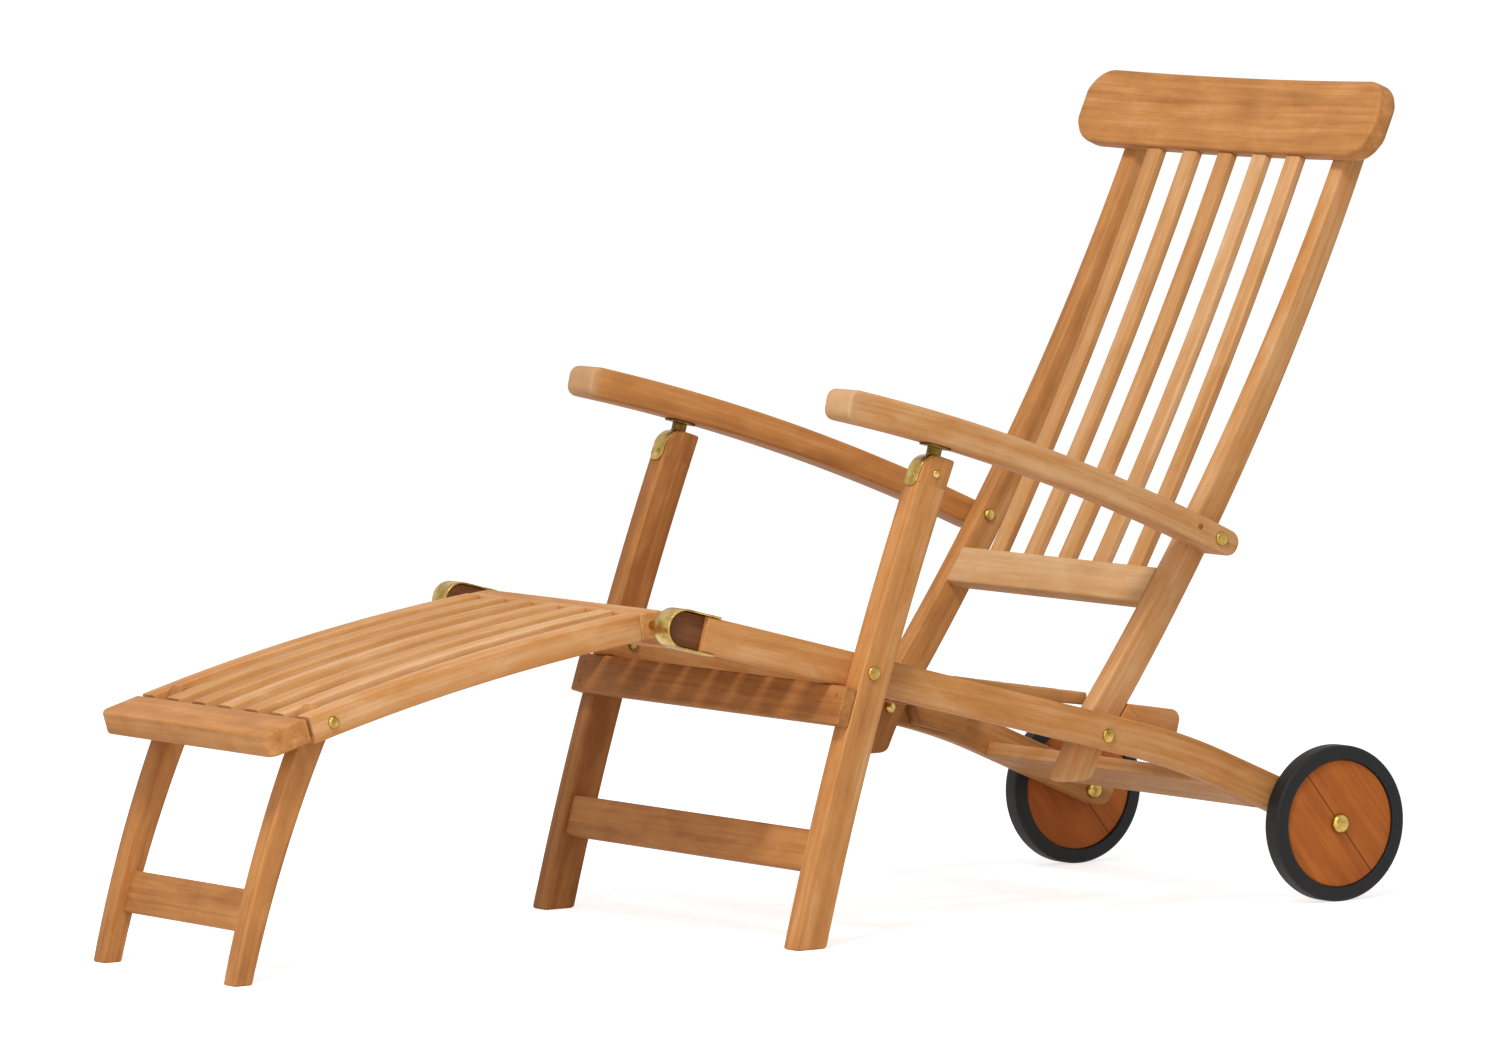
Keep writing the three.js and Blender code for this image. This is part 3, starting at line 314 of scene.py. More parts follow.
def carried(centre, up, side, top, bottom, half, edge, along):
    """Rectangle with rounded corners carried along a path. At each station it reaches top and
    bottom along up and half to both sides, and each corner is a quarter circle of the edge radius."""
    turn = np.linspace(0, math.pi / 2, CORNER_POINTS)
    angle = np.concatenate([turn + k * math.pi / 2 for k in range(4)])
    sign_side = np.repeat([1, -1, -1, 1], CORNER_POINTS)
    sign_up = np.repeat([1, 1, -1, -1], CORNER_POINTS)
    radius = np.minimum(edge, 0.98 * np.minimum(half, (top + bottom) / 2))[:, None]
    out_side = sign_side * (half[:, None] - radius) + radius * np.cos(angle)
    reach_up = np.where(sign_up > 0, top[:, None] - radius, radius - bottom[:, None])
    out_up = reach_up + radius * np.sin(angle)
    vertices = centre[:, None] + side[:, None] * out_side[..., None] + up[:, None] * out_up[..., None]
    grain = np.stack([np.broadcast_to(along[:, None], out_up.shape), out_up, out_side], axis=-1)
    return tube(vertices, grain)


def tube(rings, grain, closed=False):
    """Closed surface from rows of vertices: quads between the rows, and a flat face at each end
    or, where it is closed, quads from the last row back to the first. The volume is the sum over
    the faces of a corner dotted with the cross product of the next two, and where it comes out
    negative the faces are turned round."""
    rows, size = rings.shape[:2]
    if closed:
        rings, grain = np.concatenate([rings, rings[:1]]), np.concatenate([grain, grain[:1]])
    index = np.arange(rows)[:, None] * size + np.arange(size)
    index = np.concatenate([index, index[:1]]) if closed else index
    after = np.roll(index, -1, axis=1)
    quads = np.stack([index[:-1], after[:-1], after[1:], index[1:]], axis=-1).reshape(-1, 4)
    points = rings.reshape(-1, 3)[:rows * size]
    middle = points.mean(axis=0)
    corner = points[quads] - middle
    first = np.einsum("ij,ij->i", corner[:, 0], np.cross(corner[:, 1], corner[:, 2])).sum()
    second = np.einsum("ij,ij->i", corner[:, 0], np.cross(corner[:, 2], corner[:, 3])).sum()
    ends = [] if closed else [index[0, ::-1], index[-1]]
    caps = sum((points[end[0]] - middle) @ np.cross(
        points[end[1:-1]] - points[end[0]], points[end[2:]] - points[end[0]]).sum(axis=0) for end in ends)
    if first + second + caps < 0:
        quads = quads[:, ::-1]
        ends = [end[::-1] for end in ends]
    return {
        "vertices": points,
        "faces": quads.tolist() + [end.tolist() for end in ends],
        "smooth": [True] * len(quads) + [False] * len(ends),
        "grain": grain.reshape(-1, 3)[:rows * size],
    }


def spacing(length, radii, pitch=14.0):
    """Distances along a board: close together in its rounded ends and even between them."""
    marks = [np.linspace(0, length, max(4, int(length / pitch)))]
    for k, pair in enumerate(radii):
        for radius in pair:
            near = radius * (1 - np.cos(np.linspace(0, math.pi / 2, 7)))
            marks.append(length - near if k else near)
    return np.unique(np.clip(np.round(np.concatenate(marks), 2), 0, length))


def resampled(line, depth, pitch=4.0):
    """A line and its depths at even steps."""
    run = run_of(line)
    even = np.linspace(0, run[-1], max(8, int(run[-1] / pitch)))
    depth = np.interp(even, run, np.broadcast_to(np.asarray(depth, float), run.shape))
    return even, read_off(line, run, even), depth


def board(line, depth, width, x=0.0, edge=3.0, corners=(3.0, 3.0), cuts=(None, None), toe=None,
          begin=0.0, pale_end=0.0):
    """Board that follows a line of the side plane. Its ends are rounded by the corner radii, or
    sawn along the direction given in cuts; a corner of 0 leaves an end sharp. toe gives how far
    it stands off sideways at each y, and pale_end how far its first end is painted paler: painted
    light on the end, and its paler end grain."""
    run, line, depth = resampled(np.asarray(line, float), depth)
    length = run[-1]
    soft = [min(edge, corner) for corner in corners]
    distance = spacing(length, [(corner, ease) for corner, ease in zip(corners, soft)])
    centre = read_off(line, run, distance)
    slope = unit(read_off(tangents(line), run, distance))
    normal = left_of(slope)
    up = normal.copy()
    for cut, left_over in zip(cuts, (distance, length - distance)):
        if cut is not None:
            share = np.clip(1 - left_over / 40.0, 0, 1)[:, None]
            share = share * share * (3 - 2 * share)
            facing = cut * np.sign((normal * cut).sum(axis=1))[:, None]
            up = unit(up * (1 - share) + facing * share)
    up = up / (up * normal).sum(axis=1)[:, None]
    ends = (distance, length - distance)
    reach = np.interp(distance, run, depth) / 2
    reach = reach - sum(drawn_in(away, corner) for away, corner in zip(ends, corners))
    reach = np.maximum(reach, 0.4)
    half = width / 2 - sum(drawn_in(away, ease) for away, ease in zip(ends, soft))
    middle = in_space(centre, x if toe is None else x + toe(centre[:, 0]))
    facing = along_space(up)
    side = np.cross(along_space(normal), along_space(slope))
    shape = carried(middle, facing, side, reach, reach, half, edge, distance + begin)
    if pale_end:
        shape["end"] = np.repeat(np.clip(1.6 - 1.6 * distance / pale_end, 0, 1), 4 * CORNER_POINTS)
    if toe is not None:
        vertices = shape["vertices"]
        rows = len(distance)
        spread = toe(vertices[:, 1] - AXLE_BEHIND_MIDDLE)
        spread = spread - np.repeat(toe(centre[:, 0]), len(vertices) // rows)
        vertices[:, 0] += spread
    return shape


def strip(line, thickness, width, x=0.0, edge=0.6, corner=4.0):
    """Metal strip bent along a line of the side plane, with its corners rounded in its width."""
    run, line, _ = resampled(np.asarray(line, float), 1.0, 1.5)
    distance = spacing(run[-1], [(corner, edge)] * 2, 3.0)
    centre = read_off(line, run, distance)
    slope = unit(read_off(tangents(line), run, distance))
    up = np.broadcast_to([1.0, 0.0, 0.0], (len(distance), 3))
    side = np.cross(up, along_space(slope))
    ends = (distance, run[-1] - distance)
    reach = width / 2 - sum(drawn_in(away, corner) for away in ends)
    half = np.full(len(distance), thickness / 2)
    return carried(in_space(centre, x), up, side, reach, reach, half, edge, distance)


def cross_board(at, slope, height, thickness, half_length, edge=3.0, corners=(3.0, 3.0), bow=None):
    """Board across the chair: a rounded section, height along the slope, carried along X. The
    corner radii are those of its upper and lower corners. bow gives its way forward at each x."""
    soft = min(edge, *corners)
    distance = spacing(2 * half_length, [(corners[0], corners[1], soft)] * 2)
    ends = (distance, 2 * half_length - distance)
    x = distance - half_length
    ahead = left_of(slope)
    centre = np.repeat(in_space(at, 0), len(x), axis=0)
    centre[:, 0] = x
    along = np.repeat([[1.0, 0.0, 0.0]], len(x), axis=0)
    if bow is not None:
        centre = centre + along_space(ahead) * bow(x)[:, None]
        along = unit(np.gradient(centre, axis=0))
    up = np.repeat(along_space(slope), len(x), axis=0)
    side = np.cross(up, along)
    top = height / 2 - sum(drawn_in(away, corners[0]) for away in ends)
    bottom = height / 2 - sum(drawn_in(away, corners[1]) for away in ends)
    half = thickness / 2 - sum(drawn_in(away, soft) for away in ends)
    return carried(centre, up, side, np.maximum(top, 0.4), np.maximum(bottom, 0.4), half, edge, distance)


def rounded(corners, radii, steps=6):
    """Closed outline through corners, each replaced by an arc that touches both of its edges."""
    points = []
    count = len(corners)
    for i, (corner, radius) in enumerate(zip(corners, radii)):
        back = unit(corners[i - 1] - corner)
        ahead = unit(corners[(i + 1) % count] - corner)
        half = math.acos(float(np.clip(back @ ahead, -1, 1))) / 2
        run = radius / math.tan(half)
        middle = corner + unit(back + ahead) * radius / math.sin(half)
        start, end = corner + back * run - middle, corner + ahead * run - middle
        share = np.linspace(0, 1, steps)[:, None]
        arc = unit(start * (1 - share) + end * share) * radius
        points.append(middle + arc)
    return np.concatenate(points)


def slab(outline, thickness, x=0.0, edge=1.5, grain_along=(1.0, 0.0)):
    """Flat board of a closed outline. From each face the outline swells by a quarter circle of
    the edge radius, so the edges are round."""
    area = (outline[:, 0] * np.roll(outline[:, 1], -1) - outline[:, 1] * np.roll(outline[:, 0], -1)).sum()
    outline = outline if area > 0 else outline[::-1]
    outward = unit(np.roll(outline, -1, axis=0) - np.roll(outline, 1, axis=0))
    outward = -left_of(outward)
    turn = np.linspace(0, math.pi / 2, 4)
    inset = np.concatenate([edge * (1 - np.sin(turn)), edge * (1 - np.sin(turn))[::-1]])
    lift = thickness / 2 - edge * (1 - np.cos(turn))
    lift = np.concatenate([lift, -lift[::-1]])
    rings = [in_space(outline - outward * back, x + out) for back, out in zip(inset, lift)]
    rings = np.stack(rings[::-1])
    along = unit(np.array(grain_along, float))
    flat = rings[..., 1:]
    grain = np.stack([flat @ along, flat @ left_of(along), rings[..., 0]], axis=-1)
    return tube(rings, grain)


def turned(centre, axis, profile, sides=48, closed=False):
    """Turned piece: a profile of (radius, distance along the axis) spun about the axis, with each
    point at centre + axis * distance + radius * (cosine, sine) of the angle. A closed profile
    makes a ring."""
    axis = unit(np.array(axis, float))
    helper = np.array([0.0, 0.0, 1.0]) if abs(axis[2]) < 0.9 else np.array([0.0, 1.0, 0.0])
    first = unit(np.cross(helper, axis))
    second = np.cross(axis, first)
    profile = np.array(profile, float)
    angle = np.linspace(0, 2 * math.pi, sides, endpoint=False)
    ring = np.cos(angle)[:, None] * first + np.sin(angle)[:, None] * second
    rings = centre + profile[:, 1, None, None] * axis + profile[:, 0, None, None] * ring
    grain = np.stack(np.broadcast_arrays(
        profile[:, 0, None] * np.cos(angle), profile[:, 0, None] * np.sin(angle), profile[:, 1, None]), -1)
    return tube(rings, grain, closed)


def dome(radius, base, height, steps=9):
    """Quarter ellipse from the rim of a domed head to its crown."""
    turn = np.linspace(0, math.pi / 2, steps)
    crown = np.stack([radius * np.cos(turn), base + height * np.sin(turn)], axis=-1)
    crown[-1, 0] = 0.02
    return crown


def bolt_profile(inner, outer, shank, head, head_height, nut, nut_height):
    """Bolt from its cap nut to its domed head, with a short straight rim under each."""
    return np.concatenate([
        dome(nut, 1.2, nut_height - 1.2)[::-1] * [1, -1] + [0, inner],
        [[nut, inner], [shank, inner], [shank, outer], [head, outer]],
        dome(head, outer + 0.8, head_height - 0.8),
    ])


# Pieces

# A number for each piece, which sets its place in the grain pattern
board_numbers = count(1)

# How much darker or paler than the rest some boards of the photographed chair are drawn: partly their
# own tone and partly painted light, with painted shade on the far-side boards and others where shade
# falls, and a painted highlight on some near-side boards
TONES_AND_PAINTED_LIGHT = {
    "teak_front_leg_right": -0.95, "teak_front_leg_left": 0.0, "teak_back_stile_right": -0.3,
    "teak_back_stile_left": 0.3, "teak_arm_left": 0.4, "teak_arm_right": -0.3, "teak_headboard": -0.3,
    "teak_front_apron": -0.9, "teak_leg_stretcher": -0.45, "teak_seat_rail_left": 0.0,
    "teak_footrest_rail_left": 0.4, "teak_footrest_front_board": -0.2, "teak_footrest_leg_left": -0.4,
    "teak_footrest_leg_right": -0.7, "teak_footrest_stretcher": -0.4,
}


def mark(mesh, name, values):
    """Writes a number or a vector for each vertex, under a name that a material reads."""
    values = np.asarray(values, np.float32)
    kind, field = ("FLOAT_VECTOR", "vector") if values.ndim == 2 else ("FLOAT", "value")
    mesh.attributes.new(name, kind, "POINT").data.foreach_set(field, values.ravel())


def piece(name, body, material, shapes, stands_for=(), sharp=35.0):
    """One mesh object from shapes, with its grain places and its tone, riding on a body; the tone
    of a listed board holds painted light as well as its own tone.
    Where the photographed board sets no tone, a step of 0.61803 spreads the tones over -0.35 to
    0.35, and each board's grain is taken from another place in the pattern."""
    number = next(board_numbers)
    vertices = np.concatenate([shape["vertices"] for shape in shapes])
    grain = np.concatenate([shape["grain"] for shape in shapes])
    faces, smooth, start = [], [], 0
    for shape in shapes:
        faces += [[start + i for i in face] for face in shape["faces"]]
        smooth += shape["smooth"]
        start += len(shape["vertices"])
    mesh = bpy.data.meshes.new(name)
    mesh.from_pydata((vertices * MILLIMETRE).tolist(), [], faces)
    mesh.polygons.foreach_set("use_smooth", smooth)
    ends = [shape.get("end", np.zeros(len(shape["vertices"]))) for shape in shapes]
    tone = TONES_AND_PAINTED_LIGHT.get(name, (number * 0.61803) % 1.0 * 0.7 - 0.35)
    mark(mesh, "grain", grain + np.array([911.0, 173.0, 57.0]) * number)
    mark(mesh, "end", np.concatenate(ends))
    mark(mesh, "tone", np.full(len(vertices), tone))
    mesh.update()
    mesh.set_sharp_from_angle(angle=math.radians(sharp))
    made = bpy.data.objects.new(name, mesh)
    bpy.context.scene.collection.objects.link(made)
    mesh.materials.append(material)
    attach(made, body)
    if stands_for:
        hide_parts(*stands_for)
    return made


# Materials

def linear(hex_colour):
    """Linear colour of an sRGB hex value."""
    parts = [int(hex_colour[i:i + 2], 16) / 255 for i in (1, 3, 5)]
    return tuple(c / 12.92 if c <= 0.04045 else ((c + 0.055) / 1.055) ** 2.4 for c in parts) + (1.0,)


def add_node(tree, kind, inputs=None, **settings):
    """Adds a node. An input that is a socket is linked, and any other is set as a value."""
    node = tree.nodes.new(kind)
    for key, value in settings.items():
        setattr(node, key, value)
    for key, value in (inputs or {}).items():
        socket = node.inputs[key]
        if isinstance(value, bpy.types.NodeSocket):
            tree.links.new(value, socket)
        else:
            socket.default_value = value
    return node


def new_material(name):
    """An empty node material and its tree."""
    material = bpy.data.materials.new(name)
    material.use_nodes = True
    material.node_tree.nodes.clear()
    return material, material.node_tree


def finish_material(tree, shader):
    """Joins a shader to the material's output."""
    add_node(tree, "ShaderNodeOutputMaterial", {"Surface": shader.outputs["BSDF"]})


def ramp(tree, factor, stops):
    """Colour ramp with stops of (place, hex colour)."""
    node = add_node(tree, "ShaderNodeValToRGB", {"Fac": factor})
    elements = node.color_ramp.elements
    while len(elements) < len(stops):
        elements.new(0.5)
    for element, (place, colour) in zip(elements, stops):
        element.position = place
        element.color = linear(colour)
    return node.outputs["Color"]


def teak(name, deep, middle, pale, end="#c39c72", joint=False):
    """Teak, planed, sanded and lightly oiled: straight fine streaks along each board, some broad
    bands of a warmer or paler tone, dark pore dashes, and a satin face that is a little uneven."""
    material, tree = new_material(name)
    grain = add_node(tree, "ShaderNodeAttribute", attribute_name="grain", attribute_type="GEOMETRY")
    tone = add_node(tree, "ShaderNodeAttribute", attribute_name="tone", attribute_type="GEOMETRY")
    place = grain.outputs["Vector"]

    def streaks(length, width, detail, rough, distort=0.0):
        """Noise drawn out along the grain to streaks of a length and width in millimetres."""
        scaled = add_node(tree, "ShaderNodeMapping", {
            "Vector": place, "Scale": (1 / length, 1 / width, 1 / width)}, vector_type="POINT")
        return add_node(tree, "ShaderNodeTexNoise", {
            "Vector": scaled.outputs["Vector"], "Scale": 1.0, "Detail": detail,
            "Roughness": rough, "Distortion": distort}).outputs["Fac"]

    # Stains 70 mm long, growth bands 16 mm wide and half a metre long, streaks 5 mm wide, and
    # fibres 1.6 mm wide, which is about twice their real width so that they show
    stains = streaks(70, 26, 3.0, 0.6, 0.4)
    bands = streaks(520, 16, 3.0, 0.55, 0.25)
    lines = streaks(240, 5.0, 4.0, 0.6)
    fibres = streaks(70, 1.6, 2.0, 0.6)
    pores = streaks(16, 1.1, 1.0, 0.5)
    blend = add_node(tree, "ShaderNodeMath", {0: stains, 1: 0.3}, operation="MULTIPLY")
    for pattern, weight in ((bands, 0.34), (lines, 0.24), (fibres, 0.12)):
        blend = add_node(tree, "ShaderNodeMath", {0: pattern, 1: weight, 2: blend.outputs[0]},
                         operation="MULTIPLY_ADD")
    # The tone darkens or pales the whole board: its own tone, and for the listed boards painted shade on some
    # and a painted highlight on others.
    shift = add_node(tree, "ShaderNodeMath", {0: tone.outputs["Fac"], 1: 0.16}, operation="MULTIPLY")
    blend = add_node(tree, "ShaderNodeMath", {0: blend.outputs[0], 1: shift.outputs[0]}, operation="ADD")
    colour = ramp(tree, blend.outputs[0], [(0.3, deep), (0.5, middle), (0.7, pale)])
    dark = add_node(tree, "ShaderNodeMapRange", {
        "Value": pores, "From Min": 0.64, "From Max": 0.74, "To Min": 0.0, "To Max": 0.22})
    colour = add_node(tree, "ShaderNodeMix", {
        "Factor": dark.outputs["Result"], "A": colour, "B": linear(deep)}, data_type="RGBA").outputs["Result"]
    if joint:
        # The two boards of a wheel meet in a fine dark line through the hub.
        seam = add_node(tree, "ShaderNodeAttribute", attribute_name="joint", attribute_type="GEOMETRY")
        away = add_node(tree, "ShaderNodeMath", {0: seam.outputs["Fac"]}, operation="ABSOLUTE")
        line = add_node(tree, "ShaderNodeMapRange", {
            "Value": away.outputs[0], "From Min": 0.5, "From Max": 1.4, "To Min": 0.75, "To Max": 0.0})
        colour = add_node(tree, "ShaderNodeMix", {
            "Factor": line.outputs["Result"], "A": colour, "B": linear("#4a2410")},
            data_type="RGBA").outputs["Result"]
    # Towards the first end of some boards the colour blends to the end colour: painted light on that end, and
    # its paler end grain.
    sanded = add_node(tree, "ShaderNodeAttribute", attribute_name="end", attribute_type="GEOMETRY")
    sanded = add_node(tree, "ShaderNodeMath", {0: sanded.outputs["Fac"], 1: 0.7}, operation="MULTIPLY")
    colour = add_node(tree, "ShaderNodeMix", {
        "Factor": sanded.outputs[0], "A": colour, "B": linear(end)}, data_type="RGBA").outputs["Result"]
    satin = add_node(tree, "ShaderNodeMapRange", {"Value": lines, "To Min": 0.5, "To Max": 0.72})
    relief = add_node(tree, "ShaderNodeBump", {
        "Height": fibres, "Strength": 0.25, "Distance": 0.0004})
    shader = add_node(tree, "ShaderNodeBsdfPrincipled", {
        "Base Color": colour, "Roughness": satin.outputs["Result"], "Normal": relief.outputs["Normal"],
        "Specular IOR Level": 0.25})
    finish_material(tree, shader)
    return material


def brass(name, deep, middle, pale):
    """Solid brass, turned or bent from strip and lightly tarnished: warm yellow with browner
    clouds 15 mm across, and fine rubbing marks."""
    material, tree = new_material(name)
    place = add_node(tree, "ShaderNodeTexCoord").outputs["Object"]
    clouds = add_node(tree, "ShaderNodeTexNoise", {
        "Vector": place, "Scale": 1 / 0.015, "Detail": 3.0, "Roughness": 0.6}).outputs["Fac"]
    marks = add_node(tree, "ShaderNodeTexNoise", {
        "Vector": place, "Scale": 1 / 0.0015, "Detail": 2.0}).outputs["Fac"]
    colour = ramp(tree, clouds, [(0.3, deep), (0.5, middle), (0.7, pale)])
    rough = add_node(tree, "ShaderNodeMapRange", {"Value": clouds, "To Min": 0.42, "To Max": 0.2})
    relief = add_node(tree, "ShaderNodeBump", {"Height": marks, "Strength": 0.15, "Distance": 0.0002})
    shader = add_node(tree, "ShaderNodeBsdfPrincipled", {
        "Base Color": colour, "Metallic": 1.0, "Roughness": rough.outputs["Result"],
        "Normal": relief.outputs["Normal"]})
    finish_material(tree, shader)
    return material


def moulded_rubber():
    """Black rubber, moulded: a matt blue-black face with a fine dusty grain."""
    material, tree = new_material("rubber, moulded")
    place = add_node(tree, "ShaderNodeTexCoord").outputs["Object"]
    dust = add_node(tree, "ShaderNodeTexNoise", {
        "Vector": place, "Scale": 1 / 0.02, "Detail": 4.0, "Roughness": 0.65}).outputs["Fac"]
    grit = add_node(tree, "ShaderNodeTexNoise", {"Vector": place, "Scale": 1 / 0.0012}).outputs["Fac"]
    colour = ramp(tree, dust, [(0.3, "#0f0e0e"), (0.7, "#1b1a1a")])
    rough = add_node(tree, "ShaderNodeMapRange", {"Value": dust, "To Min": 0.5, "To Max": 0.75})
    relief = add_node(tree, "ShaderNodeBump", {"Height": grit, "Strength": 0.2, "Distance": 0.0002})
    shader = add_node(tree, "ShaderNodeBsdfPrincipled", {
        "Base Color": colour, "Roughness": rough.outputs["Result"],
        "Normal": relief.outputs["Normal"], "Specular IOR Level": 0.3})
    finish_material(tree, shader)
    return material


# The frame boards have the deepest honey brown, and the sanded slats between them are paler.
FRAME_TEAK = teak("teak frame boards, oiled", "#99602f", "#c4864a", "#daac7c")
SLAT_TEAK = teak("teak slats, sanded", "#ab713b", "#c9925a", "#e0b588")
# One paler board low in the back, and the redder discs of the wheels
PALE_TEAK = teak("teak, paler board", "#b07d4a", "#cc9c69", "#dfba8e")
WHEEL_TEAK = teak("redder teak wheel discs", "#9c4f1a", "#bd6827", "#cf8138", joint=True)
# Dark brown painted shade on the rail noses, in their recess, and small red-brown dots of end grain
PAINTED_SHADE_TEAK = teak("teak rail noses, painted shade", "#4e2b14", "#6d4020", "#875530")
PLUG_TEAK = teak("teak plugs, end grain", "#8a4a22", "#a35a2b", "#b96f3c")
# Warm yellow on bolts and straps, and nearly brown on the brackets under the arms, which is painted shade
BRASS = brass("brass, turned and lightly tarnished", "#86692c", "#b39349", "#cfb26a")
PAINTED_SHADE_BRASS = brass("brass bracket, painted shade over light tarnish", "#3c2c12", "#6a5224", "#94783a")
RUBBER = moulded_rubber()


# Lines of the side plane that the boards follow

footrest_pivot = point(-SEAT_LENGTH, SEAT_FRONT_HEIGHT)
rail_bend = point(*RAIL_BEND)
over_axle = point(0, RAIL_OVER_AXLE)
axle = point(0, WHEEL_RADIUS)
rail_along = unit(rail_bend - footrest_pivot)
rail_up = left_of(rail_along)
tail_along = unit(over_axle - rail_bend)
tail_up = left_of(tail_along)


def rail_point(reach):
    """Point on the straight part of a seat rail, at a distance before the wheel axle."""
    return rail_bend + rail_along * (-RAIL_BEND[0] - reach) / rail_along[0]


leg_pivot = rail_point(LEG_PIVOT_REACH)
arm_pivot = point(leg_pivot[0] + ARM_PIVOT_SETBACK, ARM_PIVOT_HEIGHT)
back_pivot = rail_point(BACK_PIVOT_REACH) - point(0, BACK_PIVOT_DROP)
leg_foot = point(leg_pivot[0] - LEG_FOOT_FORWARD, 0)
leg_control = control_through(leg_foot, leg_pivot + point(LEG_PIVOT_LEAD, 0), arm_pivot)
leg_line = bezier(leg_foot, leg_control, arm_pivot)
leg_top_slope = unit(arm_pivot - leg_control)
stile_top = back_pivot + point(BACK_RUN, BACK_RISE)
stile_control = control_bowed(back_pivot, stile_top, -BACK_BOW)
stile_line = bezier(back_pivot, stile_control, stile_top)
head_up = unit(stile_top - stile_control)
head_ahead = left_of(head_up)
arm_bolt = at_height(stile_line, back_pivot[1] + ARM_BOLT_RISE)[0] - point(ARM_BOLT_LEAD, 0)
arm_over_leg = arm_pivot + point(0, ARM_RISE)
arm_front = arm_over_leg + point(-ARM_OVERHANG, ARM_FRONT_RISE)
arm_control = control_through(arm_front, arm_over_leg, arm_bolt)
arm_line = bezier(arm_front, arm_control, arm_bolt)
arm_tail = arm_bolt + unit(arm_bolt - arm_control) * ARM_TAIL

rail_inner = RAIL_OUTER - RAIL_THICKNESS
rail_middle = RAIL_OUTER - RAIL_THICKNESS / 2
leg_inner = RAIL_OUTER + FIT
leg_middle = leg_inner + LEG_THICKNESS / 2
leg_outer = leg_inner + LEG_THICKNESS
stile_inner = rail_inner - FIT - STILE_THICKNESS
stile_middle = stile_inner + STILE_THICKNESS / 2
arm_middle = rail_inner + ARM_THICKNESS / 2
arm_toe = (leg_middle - arm_middle) / (arm_tail[0] - arm_pivot[0])


def arm_spread(y):
    """How far an arm stands off sideways at y: it grows evenly from the tail forward."""
    return arm_toe * (arm_tail[0] - y)


def stile_depth(share):
    """Depth of a stile at a share of its curve, thinning evenly from its foot to its top."""
    whole = (1 + STILE_SPANS * np.asarray(share, float)) / (STILE_SPANS + 2)
    return STILE_DEPTHS[0] + (STILE_DEPTHS[1] - STILE_DEPTHS[0]) * whole


# Seat

def make_seat():
    """Seat rails with their strapped noses, slats, cross boards, stop blocks and bolts."""
    make_rails()
    make_seat_boards()
    make_stop_blocks()
    make_rail_bolts()


def make_rails():
    """Each rail is a board along two straight lines eased into each other. Its nose is a thinner
    board, so that its outer face lies in a recess, inside a strap bent round the end, and it is
    coloured dark brown as painted shade in that recess."""
    ease_in = rail_bend - rail_along * RAIL_BEND_EASE
    ease_out = rail_bend + tail_along * RAIL_BEND_EASE
    nose = footrest_pivot - rail_along * RAIL_DEPTH / 2
    nose_end = nose + rail_along * RAIL_NOSE_LENGTH
    nose_round = RAIL_DEPTH / 2 - 0.6
    rail_line = np.concatenate([
        [nose_end], bezier(ease_in, rail_bend, ease_out), [over_axle + tail_along * RAIL_TAIL]])
    off = RAIL_DEPTH / 2 + FIT + STRAP_THICKNESS / 2
    turn = np.linspace(math.pi / 2, 1.5 * math.pi, 40)
    bend = np.stack([np.cos(turn), np.sin(turn)], axis=-1) * off
    strap = np.concatenate([[[STRAP_REACH, off]], bend, [[STRAP_REACH, -off]]])
    strap = footrest_pivot + strap[:, :1] * rail_along + strap[:, 1:] * rail_up
    for side, sign in SIDES:
        x = sign * rail_middle
        piece(f"teak_seat_rail_{side}", "root", FRAME_TEAK, [
            board(rail_line, RAIL_DEPTH, RAIL_THICKNESS, x, 3.0, (1.0, nose_round),
                  begin=RAIL_NOSE_LENGTH)], [f"seat_rail_{side}"])
        # The nose's dark brown colour is painted shade in its recess.
        piece(f"teak_rail_nose_{side}", "root", PAINTED_SHADE_TEAK, [
            board([nose, nose_end + rail_along * 2], RAIL_DEPTH - 0.6, RAIL_THICKNESS - RAIL_NOSE_REBATE,
                  sign * (rail_middle - RAIL_NOSE_REBATE / 2), 1.5, (nose_round - 0.3, 0.0))])
        shapes = [strip(strap, STRAP_THICKNESS, STRAP_WIDTH, x, corner=2.0)]
        for way in (1, -1):
            outward = rail_up * way
            at = footrest_pivot + rail_along * (STRAP_REACH - STRAP_SCREW_SETBACK)
            at = at + outward * (off + STRAP_THICKNESS / 2)
            shapes.append(turned(in_space(at, x)[0], along_space(outward)[0], [
                (POLE, -1.0), (STRAP_SCREW_RADIUS, -1.0), (STRAP_SCREW_RADIUS, 0.3),
                (STRAP_SCREW_RADIUS - 1.0, 0.9), (POLE, 1.1)], 24))
        piece(f"brass_rail_strap_{side}", "root", BRASS, shapes, [f"rail_end_strap_{side}"])


